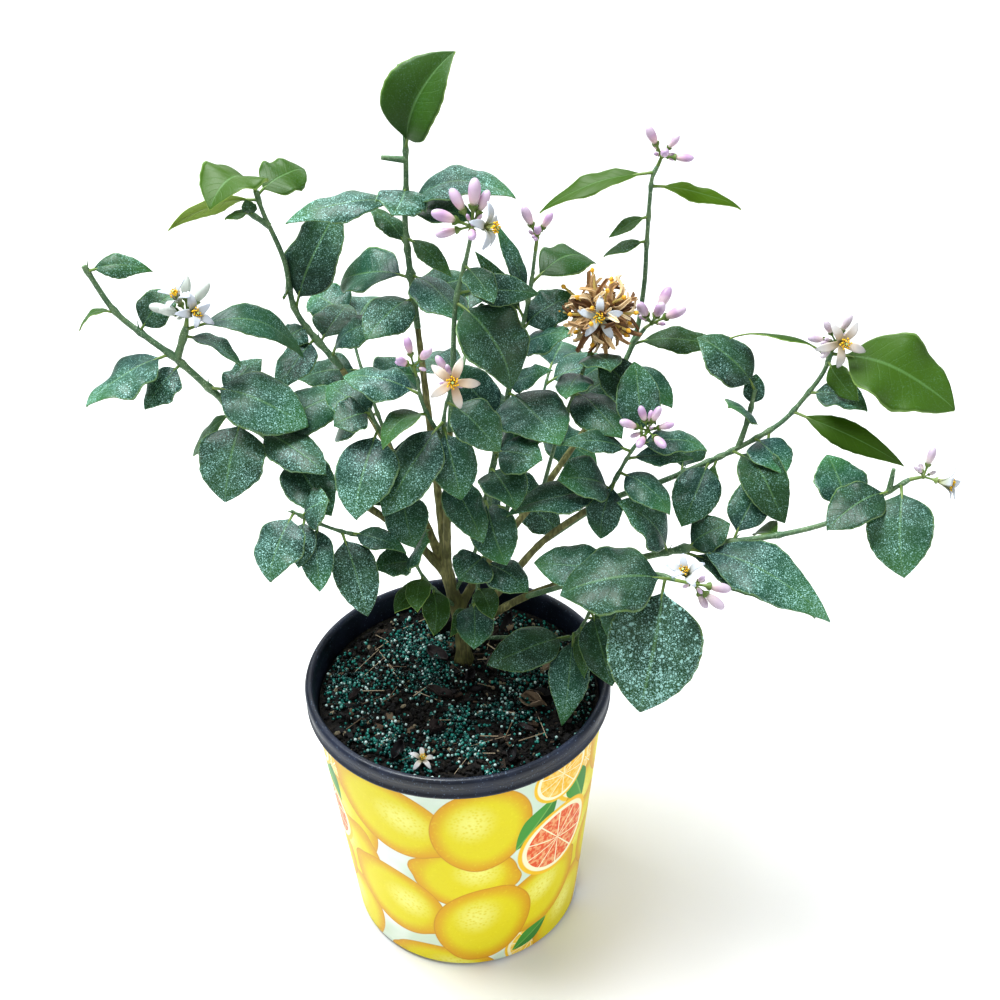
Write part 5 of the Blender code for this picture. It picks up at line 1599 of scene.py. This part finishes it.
# The shoot and twig a cluster ends, its centre, and the ways that its buds and flowers point in
BLOSSOMS = {
    "blossom_far_left": {
        "stem": ("shoot_far_left", 1), "centre": (-148, 42, 442),
        "buds": ((-1, 0, 0.3), (-0.5, -0.8, 0.6), (0.7, 0.2, 0.9), (0, 0.5, 1)),
        "flowers": ((0.5, -0.7, 0.4), (-0.3, -0.2, 1)),
    },
    "blossom_centre_top": {
        "stem": ("shoot_centre_flowers", 0), "centre": (19, 26, 499),
        "buds": ((-1, -0.2, 0.5), (-0.9, 0, -0.2), (-0.5, 0.3, 0.9), (0.1, 0.2, 1), (0.5, 0.4, 0.9),
                 (0, -1, 0.1)),
        "flowers": ((0.8, -0.6, 0.2),),
    },
    "blossom_centre_back": {
        "stem": ("shoot_centre_back", 0), "centre": (56, 60, 476),
        "buds": ((-0.4, 0, 1), (0.5, 0, 0.9), (0, -0.7, 0.7)),
        "flowers": (),
    },
    "blossom_right_top": {
        "stem": ("shoot_right_upright", 0), "centre": (132, 106, 505),
        "buds": ((-0.5, 0, 1), (0.6, 0, 0.8), (0.9, -0.2, 0), (0, -0.7, 0.4)),
        "flowers": (),
    },
    "blossom_right_inner": {
        "stem": ("shoot_right_upright", 1), "centre": (127, 80, 408),
        "buds": ((0.8, -0.2, 0.5), (0.2, -0.6, 0.9), (-0.4, -0.4, 0.8), (0.5, 0.5, 0.8)),
        "flowers": (),
    },
    "blossom_mid_right": {
        "stem": ("shoot_mid_right", 0), "centre": (117, -3, 382),
        "buds": ((-0.9, -0.2, 0.5), (-0.3, 0, 1), (0.4, 0, 1), (0.9, -0.2, 0.4), (0.4, -0.9, 0),
                 (-0.4, -0.9, 0)),
        "flowers": (),
    },
    "blossom_far_right": {
        "stem": ("shoot_far_right", 0), "centre": (231, 39, 414),
        "buds": ((-1, 0, 0.2), (-0.5, 0, 0.9), (0.4, 0, 1), (-0.6, -0.7, -0.2)),
        "flowers": ((0.1, -0.9, 0.4),),
    },
    "blossom_low_right": {
        "stem": ("shoot_low_right", 0), "centre": (277, -17, 354),
        "buds": ((0.3, 0.3, 1),),
        "flowers": ((0.9, -0.4, -0.1),),
    },
    "blossom_front_right": {
        "stem": ("shoot_front_right", 0), "centre": (141, -53, 308),
        "buds": ((0.9, 0, -0.2), (0.5, -0.3, -0.9), (0.9, -0.5, -0.6)),
        "flowers": ((-0.5, -0.35, 1),),
    },
    "blossom_front": {
        "stem": ("shoot_front_blossom", 0), "centre": (6, -5, 419),
        "buds": ((-0.6, 0.4, 0.9),),
        "flowers": ((0, -0.9, 0.5),),
    },
    "blossom_front_buds": {
        "stem": ("shoot_front_blossom", 1), "centre": (-16, 0, 427),
        "buds": ((-0.2, 0.2, 1), (-0.5, -0.5, 0.6), (0.5, -0.3, 0.7)),
        "flowers": (),
    },
}

# How pink the buds of a cluster are
BLUSH = {
    "blossom_far_left": 0.05, "blossom_far_right": 0.6, "blossom_front_right": 0.75,
    "blossom_low_right": 0.6,
}

# Clusters whose flowers have yet to open flat
HALF_OPEN = ("blossom_far_left", "blossom_low_right", "blossom_front_right")
# How far the buds of a cluster have swollen
LARGE_BUDS = {
    "blossom_far_left": 1.3, "blossom_centre_top": 1.25, "blossom_right_inner": 1.2,
    "blossom_front_right": 1.1,
}
# How cream the flowers of a cluster are
CREAM = {
    "blossom_front": 0.95, "blossom_far_right": 0.6, "blossom_far_left": 0.1,
    "blossom_low_right": 0.1,
}

bud_wax, tree, shader = new_finish("bud_wax", Roughness=0.45, Coat_Weight=0.15)
blush = shaded_colours(
    tree, own_value(tree, "shade"), (0.72, 0.64, 0.48), (0.70, 0.46, 0.54), (0.50, 0.28, 0.50),
    (0.58, 0.40, 0.64),
)
blush = blend_colours(
    tree, spread(tree, cloudy(tree, 90.0, 1.0), 0.45, 0.6, 0.0, 0.4), blush, (0.74, 0.64, 0.70),
)
plug(
    tree, shader.inputs["Base Color"],
    blend_colours(tree, own_value(tree, "blush"), (0.60, 0.66, 0.60), blush),
)

petal_skin, tree, shader = new_finish("petal_skin", Roughness=0.5)
# Both petal ramps run from a darker base to a paler tip: partly the petals' own tint at the base and partly
# painted shade near the flower's heart. The blue-grey of the white ramp is painted shade.
white = shaded_colours(
    tree, own_value(tree, "shade"), (0.30, 0.36, 0.13), (0.44, 0.48, 0.50), (0.48, 0.53, 0.62),
)
cream = shaded_colours(
    tree, own_value(tree, "shade"), (0.56, 0.36, 0.18), (0.66, 0.52, 0.39), (0.62, 0.58, 0.54),
)
plug(tree, shader.inputs["Base Color"], blend_colours(tree, own_value(tree, "blush"), white, cream))
anther_pollen, tree, shader = new_finish("anther_pollen", Roughness=0.8, Base_Color=(0.82, 0.50, 0.02))
style_skin, tree, shader = new_finish("style_skin", Roughness=0.5, Base_Color=(0.50, 0.60, 0.22))


def carry_shade(piece, low, high):
    """Gives every point of the piece a shade that runs from 0 to 1 with its height."""
    mesh = piece.data
    mesh.attributes.new("shade", "FLOAT", "POINT")
    for vertex, entry in zip(mesh.vertices, mesh.attributes["shade"].data):
        entry.value = min(1.0, max(0.0, (vertex.co.z - low) / (high - low)))


def green_stalk(sides=7):
    """A flower stalk from the knot up to a small cup of sepals."""
    rings = (
        (PEDICEL_RADIUS, 0.0), (PEDICEL_RADIUS * 0.9, PEDICEL_LENGTH * 0.7),
        (PEDICEL_RADIUS * 1.3, PEDICEL_LENGTH - 0.0008), (0.0019, PEDICEL_LENGTH + 0.0002),
        (0.0023, PEDICEL_LENGTH + 0.0015), (0.0018, PEDICEL_LENGTH + 0.0013),
        (0.0008, PEDICEL_LENGTH + 0.0006),
    )
    stalk = turned_piece("green_stalk", rings, sides)
    bpy.ops.mesh.edge_face_add()
    bpy.ops.object.mode_set(mode="OBJECT")
    stalk.data.materials.append(stalk_skin)
    smooth_faces(stalk, 60.0)
    return stalk


def bud_pattern():
    bpy.ops.object.select_all(action="DESELECT")
    bpy.ops.mesh.primitive_uv_sphere_add(segments=14, ring_count=12, radius=1.0)
    bud = bpy.context.object
    for vertex in bud.data.vertices:
        up = vertex.co.z
        girth = BUD_RADIUS * (0.86 + 0.12 * up)
        ridge = 1.0 + 0.05 * math.cos(5 * math.atan2(vertex.co.y, vertex.co.x)) * (1 - up * up)
        vertex.co.x *= girth * ridge
        vertex.co.y *= girth * ridge
        vertex.co.z = PEDICEL_LENGTH + 0.0005 + BUD_LENGTH * (up + 1) / 2
    carry_shade(bud, PEDICEL_LENGTH, PEDICEL_LENGTH + BUD_LENGTH)
    bud.data.materials.append(bud_wax)
    bud.data.shade_smooth()
    return joined_pieces("bud", [green_stalk(), bud])


def petal_pattern():
    """A strap petal from the origin along +X that recurves near its tip."""
    bpy.ops.object.select_all(action="DESELECT")
    bpy.ops.mesh.primitive_grid_add(x_subdivisions=10, y_subdivisions=6, size=2.0)
    petal = bpy.context.object
    for vertex in petal.data.vertices:
        t = (vertex.co.x + 1) / 2
        half = float(np.interp(t, (0.0, 0.3, 0.65, 0.85, 1.0), (0.45, 0.8, 1.0, 0.8, 0.18)))
        out = vertex.co.y * half * PETAL_WIDTH / 2
        drop = 0.0018 * math.sin(math.pi * t) - 0.0030 * max(0.0, t - 0.55) ** 2 * 6
        vertex.co = (t * PETAL_LENGTH, out, drop + 26.0 * out * out * (1 - t))
    apply_modifier(petal, "SOLIDIFY", thickness=0.0005)
    petal.data.materials.append(petal_skin)
    mesh = petal.data
    mesh.attributes.new("shade", "FLOAT", "POINT")
    for vertex, entry in zip(mesh.vertices, mesh.attributes["shade"].data):
        entry.value = vertex.co.x / PETAL_LENGTH
    mesh.shade_smooth()
    return petal


def flower_pattern(petal, cup):
    """A flower that faces up its stalk, its petals raised by an angle from flat."""
    heart = PEDICEL_LENGTH + BUD_LENGTH * 0.3
    pieces = [green_stalk()]
    for i in range(PETAL_COUNT):
        copy = bpy.data.objects.new("petal", petal.data.copy())
        bpy.context.scene.collection.objects.link(copy)
        droop = cup + (-0.25, 0.15, -0.05, 0.22, -0.3)[i]
        copy.data.transform(
            Matrix.Translation((0, 0, heart - 0.0014))
            @ Matrix.Rotation(math.tau * i / PETAL_COUNT, 4, "Z")
            @ Matrix.Rotation(-droop, 4, "Y")
        )
        pieces.append(copy)
    stamens = new_stems("stamens", 0)
    for finish in (petal_skin, anther_pollen, style_skin):
        stamens.data.materials.append(finish)
    for i in range(STAMEN_COUNT):
        angle = math.tau * i / STAMEN_COUNT
        lean = 0.0016 + 0.0008 * (i % 3)
        top = heart + 0.0058 + 0.0007 * (i % 2)
        foot = Vector((0.0009 * math.cos(angle), 0.0009 * math.sin(angle), heart - 0.0016))
        head = Vector((lean * math.cos(angle), lean * math.sin(angle), top))
        add_strand(stamens, [foot, head], (0.0003, 0.00018))
        add_strand(
            stamens, [head, head + Vector((0, 0, 0.0008)), head + Vector((0, 0, 0.0016))],
            (0.00040, 0.00072, 0.00035), 1,
        )
    add_strand(
        stamens, [Vector((0, 0, heart - 0.002)), Vector((0, 0, heart + 0.001))], (0.0012, 0.0009),
        2,
    )
    add_strand(
        stamens,
        [Vector((0, 0, heart)), Vector((0, 0, heart + 0.0072)), Vector((0, 0, heart + 0.0082))],
        (0.0004, 0.0004, 0.0009), 2,
    )
    stamens = as_mesh(stamens)
    return joined_pieces("flower", [*pieces, stamens])


def stood(pattern, centre, way, size, spin, blush=0.9):
    """A copy of a pattern that stands at a centre and points along a way."""
    copy = bpy.data.objects.new(pattern.name, pattern.data.copy())
    bpy.context.scene.collection.objects.link(copy)
    copy.data.transform(
        Matrix.Translation(centre)
        @ Vector(way).normalized().to_track_quat("Z", "Y").to_matrix().to_4x4()
        @ Matrix.Rotation(spin, 4, "Z") @ Matrix.Scale(size, 4)
    )
    copy.data.attributes.new("blush", "FLOAT", "POINT")
    values = np.full(len(copy.data.vertices), blush, np.float32)
    copy.data.attributes["blush"].data.foreach_set("value", values)
    return copy


def stalk_to(plan, name):
    """The stalk that carries a cluster's centre from its twig's end, with its knot."""
    shoot, twig = plan["stem"]
    end = Vector(SHOOTS[shoot]["twigs"][twig][-1]) * MM
    centre = Vector(plan["centre"]) * MM
    stems = new_stems(name, 2)
    stems.data.materials.append(stalk_skin)
    before = centre + (end - centre).normalized() * 0.0012
    beyond = centre - (end - centre).normalized() * 0.0012
    thick = TWIG_TIP_RADIUS * SHOOTS[shoot].get("girth", 1.0)
    add_strand(stems, [end, before, centre, beyond], (thick, 0.0010, 0.0016, 0.0008))
    return as_mesh(stems)


bud = bud_pattern()
petal = petal_pattern()
flower = flower_pattern(petal, PETAL_CUP)
half_open = flower_pattern(petal, HALF_OPEN_CUP)
for name, plan in BLOSSOMS.items():
    dice = random.Random(name)
    centre = Vector(plan["centre"]) * MM
    pieces = [stalk_to(plan, name + "_stalk")]
    blush = BLUSH.get(name, 0.9)
    for way in plan["buds"]:
        size = LARGE_BUDS.get(name, 1.0) * dice.uniform(0.82, 1.12)
        pieces.append(stood(bud, centre, way, size, dice.uniform(0, math.tau), blush))
    for _ in range(SMALL_BUDS):
        way = Vector((dice.uniform(-1, 1), dice.uniform(-1, 0.6), dice.uniform(-0.2, 1))).normalized()
        pieces.append(
            stood(bud, centre, way, dice.uniform(0.42, 0.66), dice.uniform(0, math.tau), blush)
        )
    opened = half_open if name in HALF_OPEN else flower
    cream = CREAM.get(name, 0.1)
    for way in plan["flowers"]:
        size = dice.uniform(0.96, 1.06)
        pieces.append(stood(opened, centre, way, size, dice.uniform(0, math.tau), cream))
    cluster = joined_pieces(name + "_cluster", pieces)
    hand_over(cluster, "petal", name)

# ---------------------------------------------------------------------------------------------
# Spent blossom head. A ball of old flowers gone papery and tan, with the yellow knobs of young
# fruit on their stalks standing out of it, and one late flower still white at its front.

SPENT_HEAD = {"stem": ("shoot_spent_head", 0), "centre": (93, 49, 431)}
SPENT_HEAD_RADIUS = 0.0145
SPENT_PETALS = 150
SPENT_STALKS = 30
SPENT_STALK_REACH = 0.0225
GOLDEN_TURN = math.radians(137.5)

spent_paper, tree, shader = new_finish("spent_paper", Roughness=0.85)
plug(
    tree, shader.inputs["Base Color"],
    shaded_colours(
        tree, own_value(tree, "shade"), (0.10, 0.050, 0.026), (0.40, 0.23, 0.11),
        (0.74, 0.54, 0.30), (0.92, 0.80, 0.58),
    ),
)
relief(tree, shader, cloudy(tree, 900.0, 2.0), 0.0004)
spent_core, tree, shader = new_finish("spent_core", Roughness=0.95, Base_Color=(0.030, 0.018, 0.010))
straw_stalk, tree, shader = new_finish("straw_stalk", Roughness=0.6, Base_Color=(0.62, 0.50, 0.16))
knob_skin, tree, shader = new_finish("knob_skin", Roughness=0.5, Base_Color=(0.80, 0.44, 0.04))

dice = random.Random(5)
centre = Vector(SPENT_HEAD["centre"]) * MM
bpy.ops.mesh.primitive_ico_sphere_add(subdivisions=3, radius=SPENT_HEAD_RADIUS * 0.72)
core = bpy.context.object
core.data.transform(Matrix.Translation(centre) @ Matrix.Diagonal((1.0, 1.0, 0.85, 1.0)))
core.data.materials.append(spent_core)
bpy.ops.mesh.primitive_grid_add(x_subdivisions=7, y_subdivisions=3, size=1.0)
withered = bpy.context.object
for vertex in withered.data.vertices:
    t = vertex.co.x + 0.5
    narrow = 1.0 - 0.6 * t
    vertex.co = (t, vertex.co.y * narrow * 0.26, 0.5 * vertex.co.y ** 2 + 0.30 * t * math.sin(4.2 * t))
apply_modifier(withered, "SOLIDIFY", thickness=0.03)
places = []
for i in range(SPENT_PETALS):
    height = 1 - 2 * (i + 0.5) / SPENT_PETALS
    angle = i * GOLDEN_TURN
    ring = math.sqrt(1 - height * height)
    way = Vector((ring * math.cos(angle), ring * math.sin(angle), height))
    way = (way + Vector([dice.uniform(-0.35, 0.35) for _ in range(3)])).normalized()
    size = dice.uniform(0.007, 0.0165)
    places.append(
        Matrix.Translation(centre + way * SPENT_HEAD_RADIUS * dice.uniform(0.55, 0.8))
        @ way.to_track_quat("X", "Z").to_matrix().to_4x4()
        @ Matrix.Rotation(dice.uniform(0, math.tau), 4, "X")
        @ Matrix.Rotation(dice.uniform(-0.9, 0.9), 4, "Y") @ Matrix.Scale(size, 4)
    )
shades = [dice.random() for _ in places]
papery = scattered("papery_petals", withered, places, shades, spent_paper)
stems = new_stems("spent_stalks", 1)
stems.data.materials.append(spent_paper)
stems.data.materials.append(straw_stalk)
stems.data.materials.append(knob_skin)
for i in range(SPENT_STALKS):
    height = 1 - 1.8 * (i + 0.5) / SPENT_STALKS
    angle = i * GOLDEN_TURN
    ring = math.sqrt(1 - height * height)
    way = Vector((ring * math.cos(angle), ring * math.sin(angle), height))
    way = (way + Vector([dice.uniform(-0.2, 0.2) for _ in range(3)])).normalized()
    reach = SPENT_STALK_REACH * dice.uniform(0.72, 1.0) * (1.0 + 0.30 * max(0.0, way.z - way.x))
    end = centre + way * reach
    elbow = centre + way * reach * 0.6 + Vector([dice.uniform(-0.0012, 0.0012) for _ in range(3)])
    add_strand(stems, [centre, elbow, end], (0.0012, 0.0009, 0.0007), 1)
    add_strand(
        stems, [end - way * 0.0018, end - way * 0.0004, end + way * 0.0011],
        (0.0008, 0.0016, 0.0007), 2,
    )
stems = as_mesh(stems)
pieces = [stalk_to(SPENT_HEAD, "spent_stalk"), core, papery, stems]
pieces.append(
    stood(flower, centre + Vector((-0.001, -0.008, 0.001)), (-0.12, -0.85, 0.5), 0.92, 0.31, 0.1)
)
spent = joined_pieces("spent_head", pieces)
hand_over(spent, "spent_blossom", "spent_blossom_head")

# ---------------------------------------------------------------------------------------------
# Fallen flower. One whole blossom has dropped from its stalk on to the mix at the front of the
# pot, where it lies with its petals spread.

fallen_place = (-0.024, -0.066)
rest = Vector((*fallen_place, mix_height(*fallen_place) - 0.0018))
fallen = stood(flower, rest, (0.25, -0.35, 0.9), 0.62, 1.0, 0.4)
fallen.name = "fallen_flower"
hand_over(fallen, "petal")
for pattern in (bud, petal, flower, half_open):
    bpy.data.objects.remove(pattern)
